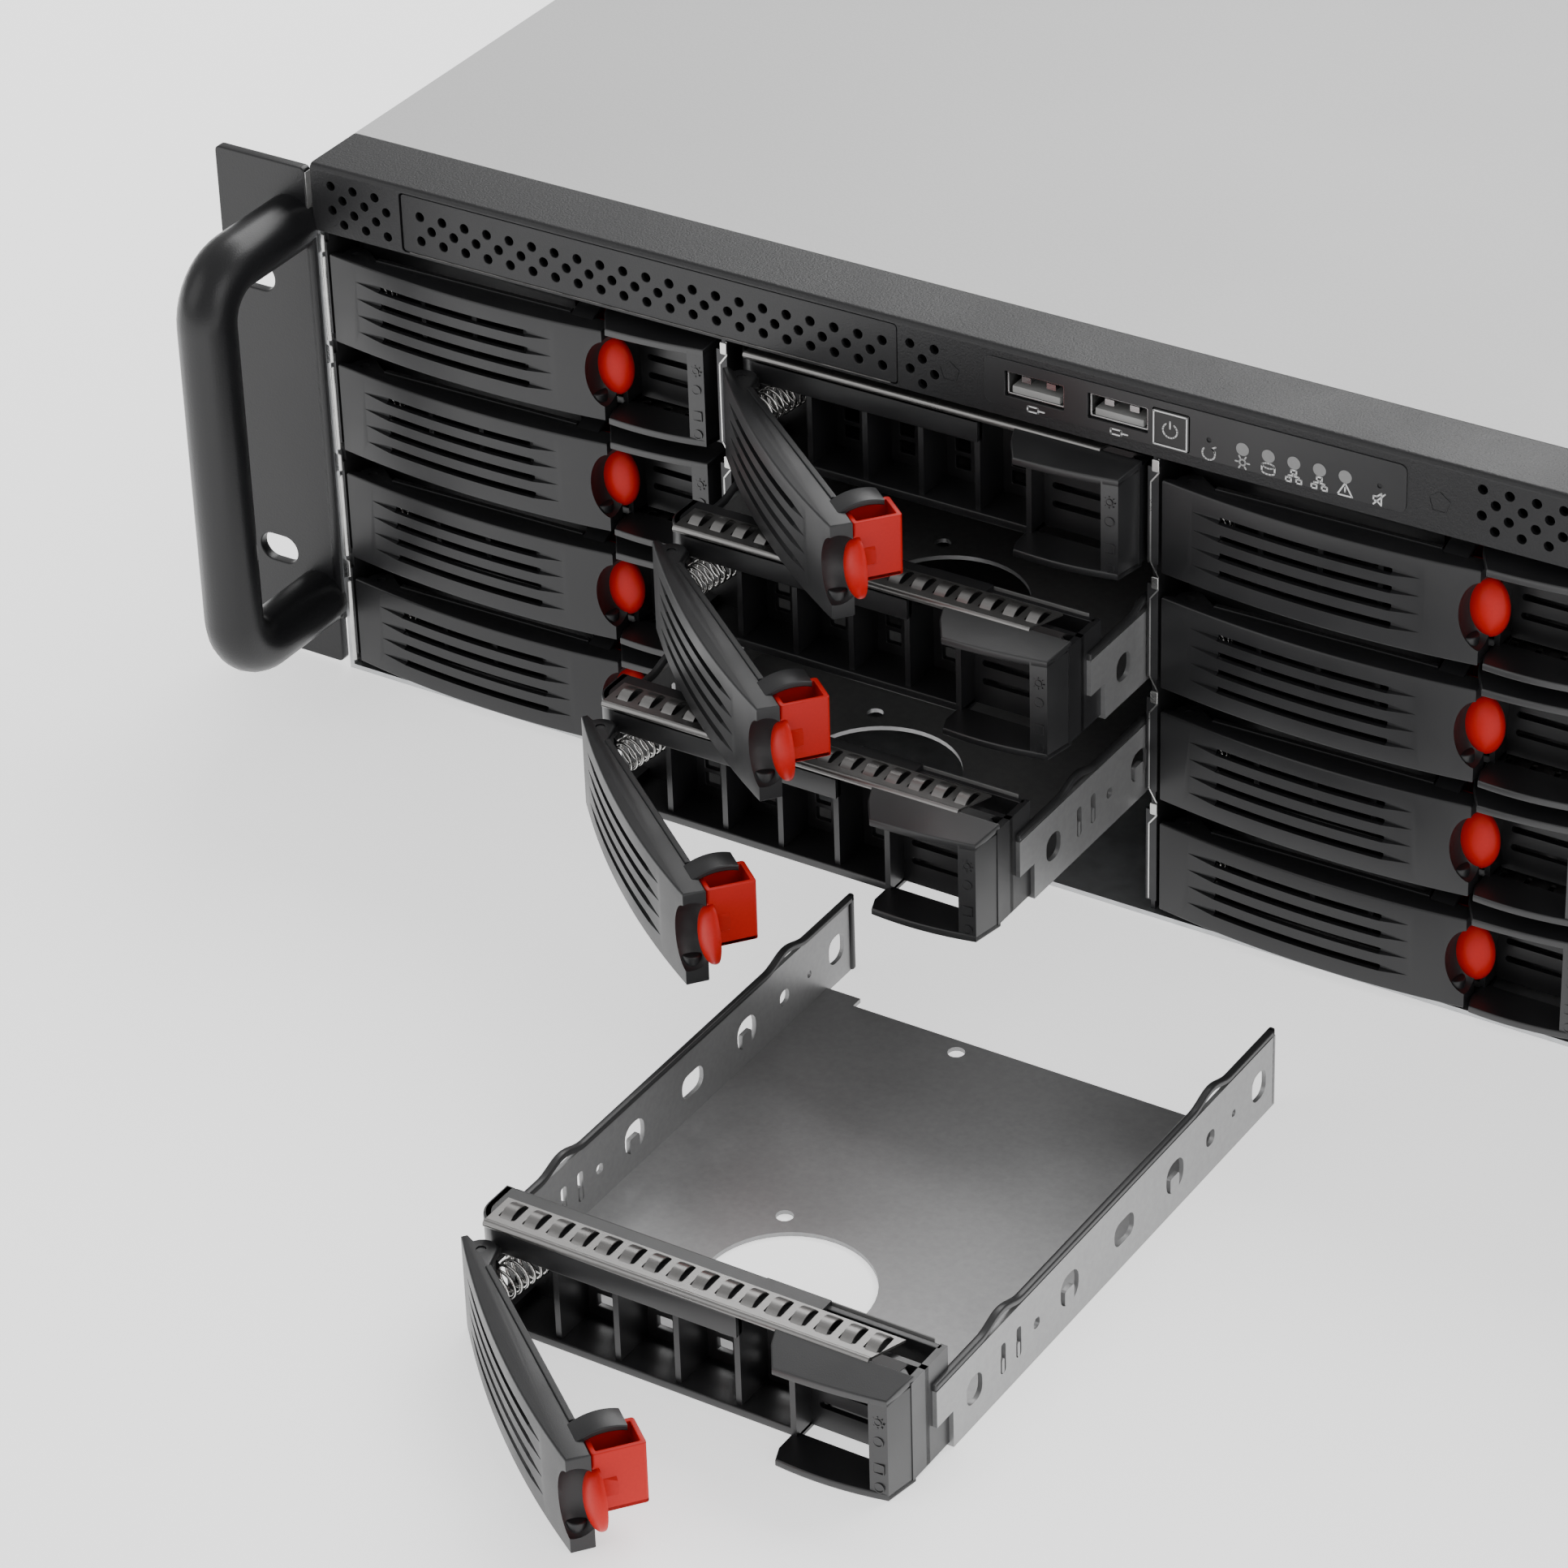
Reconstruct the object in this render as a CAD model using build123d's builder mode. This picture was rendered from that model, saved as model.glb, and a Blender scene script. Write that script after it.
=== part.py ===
from build123d import *
from math import cos, radians, sin
import os

# Rackmount chassis for sixteen 3.5 inch drive trays, three rack units high.
# X runs right seen from the front, Y runs into the chassis, Z is up.
# The origin is the middle of the chassis bottom, in the plane of the rack rails.

# Shell
body_depth = 648.0
shell_sheet = 1.2
shell_front = -1.5
side_margin = 1.0

# Front strip with its folded top
strip_front = -2.0
strip_sheet = 1.2
strip_corner = 0.96
strip_height = 16.5
strip_return = 17.3
strip_seat = 0.4

# Rack ears and handles
ear_width = 25.0
ear_sheet = 2.5
ear_gap = 1.3
ear_margin = 1.5
ear_corner = 3.0
ear_leg_depth = 60.0
ear_leg_margin = 12.0
rack_slot_inset = 8.75
rack_slot_spacing_z = 76.2
rack_slot_length = 10.0
rack_slot_width = 7.0
handle_bar = 13.0
handle_reach = 33.0
handle_span = 100.0
handle_bend = 17.0
handle_from_body = 5.0

# Drive bays
bay_columns = 4
bay_rows = 4
bay_pitch_x = 107.0
bay_pitch_z = 28.3
bay_floor = 1.6
cage_sheet = 1.0
cage_depth = 158.0
cage_lip = 1.3
cage_top_sheet = 0.6
rail_reach = 3.0
rail_sheet = 0.7
rail_gap = 0.3
notch_height = 5.0

# Tray: sizes across the bay, from the tray front backwards, and up from the bay floor
tray_front = -3.0
running_gap = 0.3
pan_side = 1.7
pan_sheet = 1.0
pan_bottom = 1.2
pan_wall_height = 19.0
pan_end = 152.0
pan_floor_end = 138.0
pan_overlap = 6.0
pan_hole_radius = 18.2
pan_hole_across = 51.3
pan_hole_back = 47.0
pan_window_places = (96.0, 134.0)
pan_window_depth = 8.0
pan_window_height = 7.0
pan_window_rise = 1.0
bezel_bottom = 1.0
bezel_top = 26.4
bezel_front = 8.5
bezel_back = 21.0
bezel_wall = 2.0
bezel_lip = 6.5
rib_wall = 1.3
spring_pocket_width = 19.5
compartments = 4
window_width = 9.5
window_height = 15.0
frame_start = 78.4
frame_column = 5.7
frame_pocket = 12.5
frame_slope = 1.6
frame_bulge = 0.8
gasket_sheet = 0.7
gasket_depth = 8.4
gasket_hem = 1.6
gasket_inset = 0.5
gasket_step = 0.2
light_pipe_width = 1.8
light_pipe_height = 2.4
light_pipe_pitch = 11.3
light_pipe_middle = 8.3
light_pipe_proud = 0.3

# Sixteen bays repeat each small round, so these are drawn with flats
small_round_sides = 12
large_round_sides = 24

# How far a cut runs past the face that it opens
cut_past = 1.0

# Lever, its pivot and the red latch
pivot_across = 8.0
pivot_back = 4.0
pin_radius = 1.0
pin_clearance = 0.05
pin_end_gap = 0.2
lug_radius = 1.85
lug_neck = 3.0
lug_sheet = 2.0
nose_radius = 3.4
lever_end = 76.8
lever_mid = 40.0
lever_bulge = 2.2
lever_back = 7.1
lever_wall = 1.2
lever_bottom = 1.0
lever_top = 27.2
lever_flange = 1.6
lever_slots = 4
lever_slot_pitch = 4.9
lever_slot_height = 1.7
lever_slot_from = 19.0
lever_slot_to = 53.5
ear_strap_back = 12.4
ear_strap_from = 66.6
ear_strap_sheet = 1.6
ear_strap_inset = 0.2
latch_box_from = 67.4
latch_box_end = 76.6
latch_box_front = 1.6
latch_box_back = 12.8
latch_box_height = 13.6
latch_middle = 15.3
pad_across = 79.5
pad_half_width = 4.9
pad_half_height = 6.8
pad_sheet = 1.9
pad_front = -3.2
notch_gap = 3.4
notch_rise = 1.2
notch_depth = 2.4
latch_ramp_height = 6.0
latch_ramp_back = 3.0

# Trays that stand open in the picture: bay, how far out, and the lever angle
open_lever_angle = 39.0
tray_pulled = {(2, 1): 6.5, (2, 2): 36.5, (2, 3): 66.5}
loose_tray_bay = (2, 4)
loose_tray_shift_x = 58.5
loose_tray_shift_y = -199.5

# Backplane, and where its slots and connectors stand in a bay
backplane_gap = 0.4
backplane_sheet = 1.6
backplane_margin = 4.0
air_slot = (12.0, 17.0, 40.0, 8.0)
connector = (58.0, 6.0, 36.0, 6.0)
connector_depth = 7.5

# Fans in their wall, beside a hole for cables
fan_wall_front = 236.0
fan_margin = 6.0
fan_depth = 25.4
fan_count = 2
fan_gap = 8.0
fan_shift = 60.0
fan_rim = 2.5
fan_tip_gap = 1.5
fan_hub_radius = 21.0
fan_blades = 7
fan_blade_sheet = 1.8
fan_blade_chord = 24.0
fan_blade_angle = 38.0
fan_strut_width = 6.0
fan_strut_sheet = 3.0
fan_gap_front = 2.0
motor_depth = 6.0
motor_radius = 4.0
cable_hole_middle = -140.0
cable_hole_width = 90.0
cable_hole_height = 60.0

# Cover
cover_sheet = 1.0
cover_lip = 12.0
cover_screw_pitch = 340.0
cover_screw_radius = 4.5
cover_screw_length = 9.0

# Rear wall: windows as left edge, lower edge, width and height
io_window = (30.0, 22.0, 159.0, 45.0)
supply_window = (-205.0, 10.0, 40.0, 84.0)
card_slot_start = -135.0
card_slot_pitch = 20.32
card_slot_width = 14.0
card_slot_height = 92.0
card_slot_bottom = 18.0
card_slots = 7
vent_pitch = 20.0
vent_width = 14.0
vent_height = 36.0
vent_bottom = 80.0
vents = 7
top_fold = 12.0

# Optical blank
blank_from_edge = 24.2
blank_width = 129.3
blank_margin = 1.4
blank_gap = 0.3
blank_depth = 12.0

# Control panel, heights from the lower edge of the strip
panel_left = -39.9
panel_right = 59.1
panel_rise = 2.7
panel_height = 11.0
panel_corner = 1.5
panel_sheet = 0.3
board_front = 9.0
board_sheet = 1.6
socket_width = 14.4
socket_height = 6.0
socket_rise = 8.1
socket_places = (-27.9, -7.9)
socket_wall = 0.5
socket_fit = 0.2
tongue_inset = 1.0
tongue_sheet = 1.5
tongue_drop = 0.9

# Power button
button_across = 4.8
button_rise = 7.5
button_size = 8.8
button_gap = 0.3
button_rim = 1.2
button_proud = 0.4
button_edge = 0.5
button_back_gap = 2.0

# Places that follow from the sizes above
cage_top = bay_floor + bay_rows * bay_pitch_z + running_gap
strip_bottom = cage_top + strip_seat
body_height = strip_bottom + strip_height
body_width = bay_columns * bay_pitch_x + 2 * side_margin
half_body = body_width / 2
half_rack = half_body + ear_gap + ear_width
ear_bottom = ear_margin
ear_top = body_height - ear_margin
rack_slot_spacing_x = 2 * (half_rack - rack_slot_inset)
strip_back = strip_front + strip_return
cover_front = strip_back + running_gap
cover_bottom = body_height - cover_sheet
shell_top = cover_bottom - running_gap
cage_left = -bay_columns * bay_pitch_x / 2
pan_right = bay_pitch_x - pan_side
bezel_left = pan_side + pan_sheet
bezel_right = bay_pitch_x - bezel_left
ear_inner = half_body + ear_gap
handle_x = half_body + handle_from_body
fan_middle_z = body_height / 2
fan_size = body_height - 2 * fan_margin
fan_pitch = fan_size + fan_gap
fan_bore_radius = fan_size / 2 - fan_rim
backplane_front = cage_depth + backplane_gap
blank_left = -half_body + blank_from_edge
blank_right = blank_left + blank_width
blank_top = body_height - blank_margin
panel_low = strip_bottom + panel_rise
panel_high = panel_low + panel_height
socket_middle_z = strip_bottom + socket_rise
button_middle = (button_across, strip_bottom + button_rise)

os.makedirs("parts", exist_ok=True)


def write(part, label):
    """Give the finished piece its name and write it."""
    part.label = label
    export_step(part, f"parts/{label}.step")


def group(pieces, label):
    """Write several separate pieces as one named node."""
    write(Compound(label=label, children=pieces), label)


def box_between(low, high, mode=Mode.ADD):
    """A box from its lowest to its highest corner."""
    size = [top - bottom for bottom, top in zip(low, high)]
    with Locations(tuple(low)):
        Box(*size, align=(Align.MIN, Align.MIN, Align.MIN), mode=mode)


def oval(half_width, half_height, middle):
    """An upright oval drawn with flats."""
    turns = [radians(360 / small_round_sides * step) for step in range(small_round_sides)]
    with Locations(middle):
        Polygon(*[(half_width * cos(turn), half_height * sin(turn)) for turn in turns], align=None)


# Shell: floor and sides folded from one sheet with inward folds at the top, and the rear wall riveted in
with BuildPart() as chassis_shell:
    with BuildSketch(Plane.XZ.offset(-shell_front)):
        with BuildLine():
            Polyline(
                (-half_body + top_fold, shell_top),
                (-half_body, shell_top),
                (-half_body, 0),
                (half_body, 0),
                (half_body, shell_top),
                (half_body - top_fold, shell_top),
                (half_body - top_fold, shell_top - shell_sheet),
                (half_body - shell_sheet, shell_top - shell_sheet),
                (half_body - shell_sheet, shell_sheet),
                (-half_body + shell_sheet, shell_sheet),
                (-half_body + shell_sheet, shell_top - shell_sheet),
                (-half_body + top_fold, shell_top - shell_sheet),
                close=True,
            )
        make_face()
    extrude(amount=shell_front - body_depth)
    box_between(
        (-half_body, shell_front, strip_bottom - running_gap),
        (half_body, strip_back + running_gap, body_height),
        Mode.SUBTRACT,
    )
rear_low = shell_sheet
rear_high = shell_top - shell_sheet
with BuildPart() as rear_wall:
    with BuildSketch(Plane.XZ.offset(-body_depth)):
        with Locations((0, (rear_low + rear_high) / 2)):
            Rectangle(body_width - 2 * shell_sheet, rear_high - rear_low)
        for left, low, width, height in (io_window, supply_window):
            with Locations((left + width / 2, low + height / 2)):
                Rectangle(width, height, mode=Mode.SUBTRACT)
        slots_middle = card_slot_start + card_slot_pitch * (card_slots - 1) / 2
        with Locations((slots_middle, card_slot_bottom + card_slot_height / 2)):
            with GridLocations(card_slot_pitch, 1, card_slots, 1):
                Rectangle(card_slot_width, card_slot_height, mode=Mode.SUBTRACT)
        with Locations((io_window[0] + io_window[2] / 2, vent_bottom + vent_height / 2)):
            with GridLocations(vent_pitch, 1, vents, 1):
                Rectangle(vent_width, vent_height, mode=Mode.SUBTRACT)
    extrude(amount=shell_sheet)
group([chassis_shell.part, rear_wall.part], "chassis_shell")

# Cover: a flat sheet that tucks behind the front strip and folds down over the rear wall
with BuildPart() as top_cover:
    box_between((-half_body, cover_front, cover_bottom), (half_body, body_depth + running_gap, body_height))
    box_between(
        (-half_body, body_depth + running_gap, body_height - cover_lip),
        (half_body, body_depth + running_gap + cover_sheet, body_height),
    )
    with BuildSketch(Plane.XZ.offset(-body_depth - running_gap - cover_sheet)):
        with GridLocations(cover_screw_pitch, 1, 2, 1):
            with Locations((0, body_height - cover_lip / 2)):
                RegularPolygon(cover_screw_radius, large_round_sides)
    extrude(amount=-cover_screw_length)
write(top_cover.part, "top_cover")

# Front strip: face, top return and short side returns, open for the blank, the sockets and the button
with BuildPart() as front_strip:
    box_between((-half_body, strip_front, strip_bottom), (half_body, strip_back, body_height))
    box_between(
        (-half_body + strip_sheet, strip_front + strip_sheet, strip_bottom - 1),
        (half_body - strip_sheet, strip_back + 1, body_height - strip_sheet),
        Mode.SUBTRACT,
    )
    front_edges = front_strip.edges().filter_by(Axis.X).group_by(Axis.Z)[-1].sort_by(Axis.Y)[0]
    fillet(front_edges, radius=strip_corner)
    with BuildSketch(Plane.XZ.offset(-strip_front)):
        with Locations(((blank_left + blank_right) / 2, (blank_top + strip_bottom) / 2 - 1)):
            Rectangle(blank_right - blank_left, blank_top - strip_bottom + 2)
        with Locations(*[(x, socket_middle_z) for x in socket_places]):
            Rectangle(socket_width, socket_height)
        with Locations(button_middle):
            Rectangle(button_size, button_size)
    extrude(amount=-strip_sheet, mode=Mode.SUBTRACT)
write(front_strip.part, "front_strip")

# Optical drive blank: a shallow sheet cup in the strip's opening
with BuildPart() as optical_blank:
    box_between(
        (blank_left + blank_gap, strip_front, cage_top + cage_top_sheet + blank_gap),
        (blank_right - blank_gap, strip_front + blank_depth, blank_top - blank_gap),
    )
    blank_back = optical_blank.faces().sort_by(Axis.Y)[-1]
    offset(amount=-strip_sheet, openings=blank_back)
write(optical_blank.part, "optical_blank")

# Control panel: thin overlay on the strip, circuit board behind it and two sockets
with BuildPart() as overlay:
    with BuildSketch(Plane.XZ.offset(-strip_front)):
        with Locations(((panel_left + panel_right) / 2, (panel_low + panel_high) / 2)):
            RectangleRounded(panel_right - panel_left, panel_high - panel_low, panel_corner)
        with Locations(*[(x, socket_middle_z) for x in socket_places]):
            Rectangle(socket_width, socket_height, mode=Mode.SUBTRACT)
        with Locations(button_middle):
            Rectangle(button_size, button_size, mode=Mode.SUBTRACT)
    extrude(amount=panel_sheet)
with BuildPart() as panel_board:
    box_between((panel_left, board_front, panel_low), (panel_right, board_front + board_sheet, panel_high))
panel_pieces = [overlay.part, panel_board.part]
socket_half = socket_width / 2 - socket_fit
socket_low = socket_middle_z - socket_height / 2 + socket_fit
socket_high = socket_middle_z + socket_height / 2 - socket_fit
tongue_top = socket_high - tongue_drop
for socket_x in socket_places:
    with BuildPart() as socket:
        box_between(
            (socket_x - socket_half, strip_front + socket_fit, socket_low),
            (socket_x + socket_half, board_front, socket_high),
        )
        box_between(
            (socket_x - socket_half + socket_wall, strip_front, socket_low + socket_wall),
            (socket_x + socket_half - socket_wall, board_front - socket_wall, socket_high - socket_wall),
            Mode.SUBTRACT,
        )
        box_between(
            (socket_x - socket_half + tongue_inset, strip_front + tongue_inset, tongue_top - tongue_sheet),
            (socket_x + socket_half - tongue_inset, board_front - socket_wall, tongue_top),
        )
    panel_pieces.append(socket.part)
group(panel_pieces, "control_panel")

# Power button: a square cap that runs through the strip, with a rim behind it
cap_half = button_size / 2 - button_gap
rim_half = cap_half + button_rim
rim_front = strip_front + strip_sheet + button_gap
with BuildPart() as power_button:
    box_between(
        (button_middle[0] - cap_half, strip_front - panel_sheet - button_proud, button_middle[1] - cap_half),
        (button_middle[0] + cap_half, board_front - button_back_gap, button_middle[1] + cap_half),
    )
    cap_face = power_button.faces().sort_by(Axis.Y)[0]
    chamfer(cap_face.edges(), length=button_edge)
    box_between(
        (button_middle[0] - rim_half, rim_front, button_middle[1] - rim_half),
        (button_middle[0] + rim_half, rim_front + button_rim, button_middle[1] + rim_half),
    )
write(power_button.part, "power_button")

# Rack ears with their handles, mirrored left and right
slot_middle_z = (ear_bottom + ear_top) / 2
with BuildPart() as ear:
    with BuildSketch(Plane.XZ):
        with Locations(((ear_inner + half_rack) / 2, slot_middle_z)):
            RectangleRounded(half_rack - ear_inner, ear_top - ear_bottom, ear_corner)
        with Locations((rack_slot_spacing_x / 2, slot_middle_z)):
            with GridLocations(1, rack_slot_spacing_z, 1, 2):
                SlotOverall(rack_slot_length, rack_slot_width, mode=Mode.SUBTRACT)
    extrude(amount=ear_sheet)
    leg_low = ear_bottom + ear_leg_margin
    leg_high = ear_top - ear_leg_margin
    box_between((half_body, -ear_sheet, leg_low), (half_body + ear_sheet, ear_leg_depth, leg_high))
with BuildPart() as handle:
    handle_low = slot_middle_z - handle_span / 2
    handle_high = slot_middle_z + handle_span / 2
    with BuildLine(Plane.YZ.offset(handle_x)):
        FilletPolyline(
            (-ear_sheet, handle_low),
            (-ear_sheet - handle_reach, handle_low),
            (-ear_sheet - handle_reach, handle_high),
            (-ear_sheet, handle_high),
            radius=handle_bend,
        )
    with BuildSketch(Plane((handle_x, -ear_sheet, handle_low), z_dir=(0, -1, 0))):
        Circle(handle_bar / 2)
    sweep()
ear_pieces = [ear.part, handle.part]
ear_pieces += [mirror(piece, about=Plane.YZ) for piece in (ear.part, handle.part)]
group(ear_pieces, "rack_ears")

# Drive cage: side plates, dividers with rails and notched front lips, and a top sheet
rail_front = tray_front + bezel_back + bezel_wall


def cage_plate(plate_x, edge_x, rails_left, rails_right):
    """One upright plate; rails and front lips reach past the bay's edge on the sides that have a bay."""
    with BuildPart() as plate:
        box_between(
            (plate_x - cage_sheet / 2, 0, shell_sheet),
            (plate_x + cage_sheet / 2, cage_depth, cage_top),
        )
        for row in range(bay_rows):
            rail_top = bay_floor + row * bay_pitch_z + pan_bottom - rail_gap
            low_x = plate_x - (cage_sheet / 2 + rail_reach if rails_left else 0)
            high_x = plate_x + (cage_sheet / 2 + rail_reach if rails_right else 0)
            box_between((low_x, rail_front, rail_top - rail_sheet), (high_x, cage_depth, rail_top))
            lip_low = bay_floor + row * bay_pitch_z + notch_height / 2
            lip_high = lip_low + bay_pitch_z - notch_height
            lip_left = edge_x - cage_lip if rails_left else plate_x - cage_sheet / 2
            lip_right = edge_x + cage_lip if rails_right else plate_x + cage_sheet / 2
            box_between((lip_left, -cage_sheet, lip_low), (lip_right, 0, lip_high))
    return plate.part


cage_pieces = []
for divider in range(bay_columns + 1):
    edge = -1 if divider == 0 else 1 if divider == bay_columns else 0
    edge_x = cage_left + divider * bay_pitch_x
    plate_x = edge_x - edge * (cage_sheet / 2 + running_gap)
    cage_pieces.append(cage_plate(plate_x, edge_x, divider > 0, divider < bay_columns))
with BuildPart() as cage_roof:
    box_between(
        (-half_body + shell_sheet, 0, cage_top),
        (half_body - shell_sheet, cage_depth, cage_top + cage_top_sheet),
    )
cage_pieces.append(cage_roof.part)
group(cage_pieces, "drive_cage")

# Backplane: board with a slot for air above each connector
with BuildPart() as backplane:
    box_between(
        (-half_body + backplane_margin, backplane_front, shell_sheet + running_gap),
        (half_body - backplane_margin, backplane_front + backplane_sheet, cage_top),
    )
    for column in range(bay_columns):
        for row in range(bay_rows):
            bay_x = cage_left + column * bay_pitch_x
            bay_z = bay_floor + row * bay_pitch_z
            slot_x = bay_x + air_slot[0]
            slot_z = bay_z + air_slot[1]
            box_between(
                (slot_x, backplane_front - 1, slot_z),
                (slot_x + air_slot[2], backplane_front + backplane_sheet + 1, slot_z + air_slot[3]),
                Mode.SUBTRACT,
            )
            plug_x = bay_x + connector[0]
            plug_z = bay_z + connector[1]
            box_between(
                (plug_x, backplane_front - connector_depth, plug_z),
                (plug_x + connector[2], backplane_front, plug_z + connector[3]),
            )
write(backplane.part, "backplane")

# Fan wall with its fan frames
fan_places = [(index - (fan_count - 1) / 2) * fan_pitch + fan_shift for index in range(fan_count)]
fan_front = fan_wall_front + shell_sheet
fan_back = fan_front + fan_depth
with BuildPart() as fan_plate:
    box_between(
        (-half_body + shell_sheet + running_gap, fan_wall_front, shell_sheet),
        (half_body - shell_sheet - running_gap, fan_front, shell_top - shell_sheet - running_gap),
    )
    with BuildSketch(Plane.XZ.offset(-fan_wall_front)):
        with Locations(*[(x, fan_middle_z) for x in fan_places]):
            RegularPolygon(fan_bore_radius, large_round_sides)
        with Locations((cable_hole_middle, fan_middle_z)):
            Rectangle(cable_hole_width, cable_hole_height)
    extrude(amount=-shell_sheet, mode=Mode.SUBTRACT)
wall_pieces = [fan_plate.part]
for fan_x in fan_places:
    with BuildPart() as fan_frame:
        with BuildSketch(Plane.XZ.offset(-fan_front)):
            with Locations((fan_x, fan_middle_z)):
                Rectangle(fan_size, fan_size)
                RegularPolygon(fan_bore_radius, large_round_sides, mode=Mode.SUBTRACT)
        extrude(amount=-fan_depth)
        with BuildSketch(Plane.XZ.offset(-fan_back)):
            with Locations((fan_x, fan_middle_z)):
                RegularPolygon(fan_hub_radius, large_round_sides)
                Rectangle(fan_bore_radius * 2, fan_strut_width)
                Rectangle(fan_strut_width, fan_bore_radius * 2)
        extrude(amount=fan_strut_sheet)
        with BuildSketch(Plane.XZ.offset(-fan_back + fan_strut_sheet)):
            with Locations((fan_x, fan_middle_z)):
                Circle(motor_radius)
        extrude(amount=motor_depth - fan_strut_sheet)
    wall_pieces.append(fan_frame.part)
group(wall_pieces, "fan_wall")

# Fan rotors: a hub cup with pitched blades that runs on the frame's post
blade_tip = fan_bore_radius - fan_rim - fan_tip_gap
rotor_front = fan_front + fan_gap_front
rotor_back = fan_back - fan_strut_sheet - running_gap
blade_root = fan_hub_radius * cos(radians(180 / large_round_sides)) - fan_blade_sheet
for index, fan_x in enumerate(fan_places):
    hub_plane = Plane((fan_x, rotor_front, fan_middle_z), x_dir=(1, 0, 0), z_dir=(0, -1, 0))
    with BuildPart() as rotor:
        with BuildSketch(hub_plane):
            RegularPolygon(fan_hub_radius, large_round_sides)
            Circle(motor_radius + pin_clearance, mode=Mode.SUBTRACT)
        extrude(amount=rotor_front - rotor_back)
        for blade in range(fan_blades):
            turn = 360 / fan_blades * blade
            out = Vector(cos(radians(turn)), 0, sin(radians(turn)))
            around = Vector(-sin(radians(turn)), 0, cos(radians(turn)))
            chord = around * cos(radians(fan_blade_angle)) + Vector(0, 1, 0) * sin(radians(fan_blade_angle))
            root = Vector(fan_x, (rotor_front + rotor_back) / 2, fan_middle_z) + out * blade_root
            with BuildSketch(Plane(root, x_dir=chord, z_dir=out)):
                Rectangle(fan_blade_chord, fan_blade_sheet)
            extrude(amount=blade_tip - blade_root)
    write(rotor.part, f"fan_rotor_{index + 1}")

# One tray at its own origin: the pan, folded from dark sheet
with BuildPart() as pan:
    wall_top = pan_bottom + pan_wall_height
    with BuildSketch(Plane.XZ.offset(-(bezel_back - pan_overlap))):
        with BuildLine():
            Polyline(
                (pan_side, wall_top),
                (pan_side, pan_bottom),
                (pan_right, pan_bottom),
                (pan_right, wall_top),
                (pan_right - pan_sheet, wall_top),
                (pan_right - pan_sheet, pan_bottom + pan_sheet),
                (pan_side + pan_sheet, pan_bottom + pan_sheet),
                (pan_side + pan_sheet, wall_top),
                close=True,
            )
        make_face()
    extrude(amount=-(pan_end - bezel_back + pan_overlap))
    box_between(
        (bezel_left, 0, pan_bottom),
        (bezel_right, bezel_back, pan_bottom + pan_sheet),
        Mode.SUBTRACT,
    )
    box_between(
        (bezel_left, pan_floor_end, pan_bottom),
        (bezel_right, pan_end + 1, pan_bottom + pan_sheet),
        Mode.SUBTRACT,
    )
    with BuildSketch(Plane.XY.offset(pan_bottom)):
        with Locations((pan_hole_across, pan_hole_back)):
            RegularPolygon(pan_hole_radius, large_round_sides)
    extrude(amount=pan_sheet, mode=Mode.SUBTRACT)
    window_middle = pan_bottom + pan_wall_height / 2 + pan_window_rise
    with BuildSketch(Plane.YZ):
        with Locations(*[(back, window_middle) for back in pan_window_places]):
            Rectangle(pan_window_depth, pan_window_height)
    extrude(amount=bay_pitch_x, mode=Mode.SUBTRACT)

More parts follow.
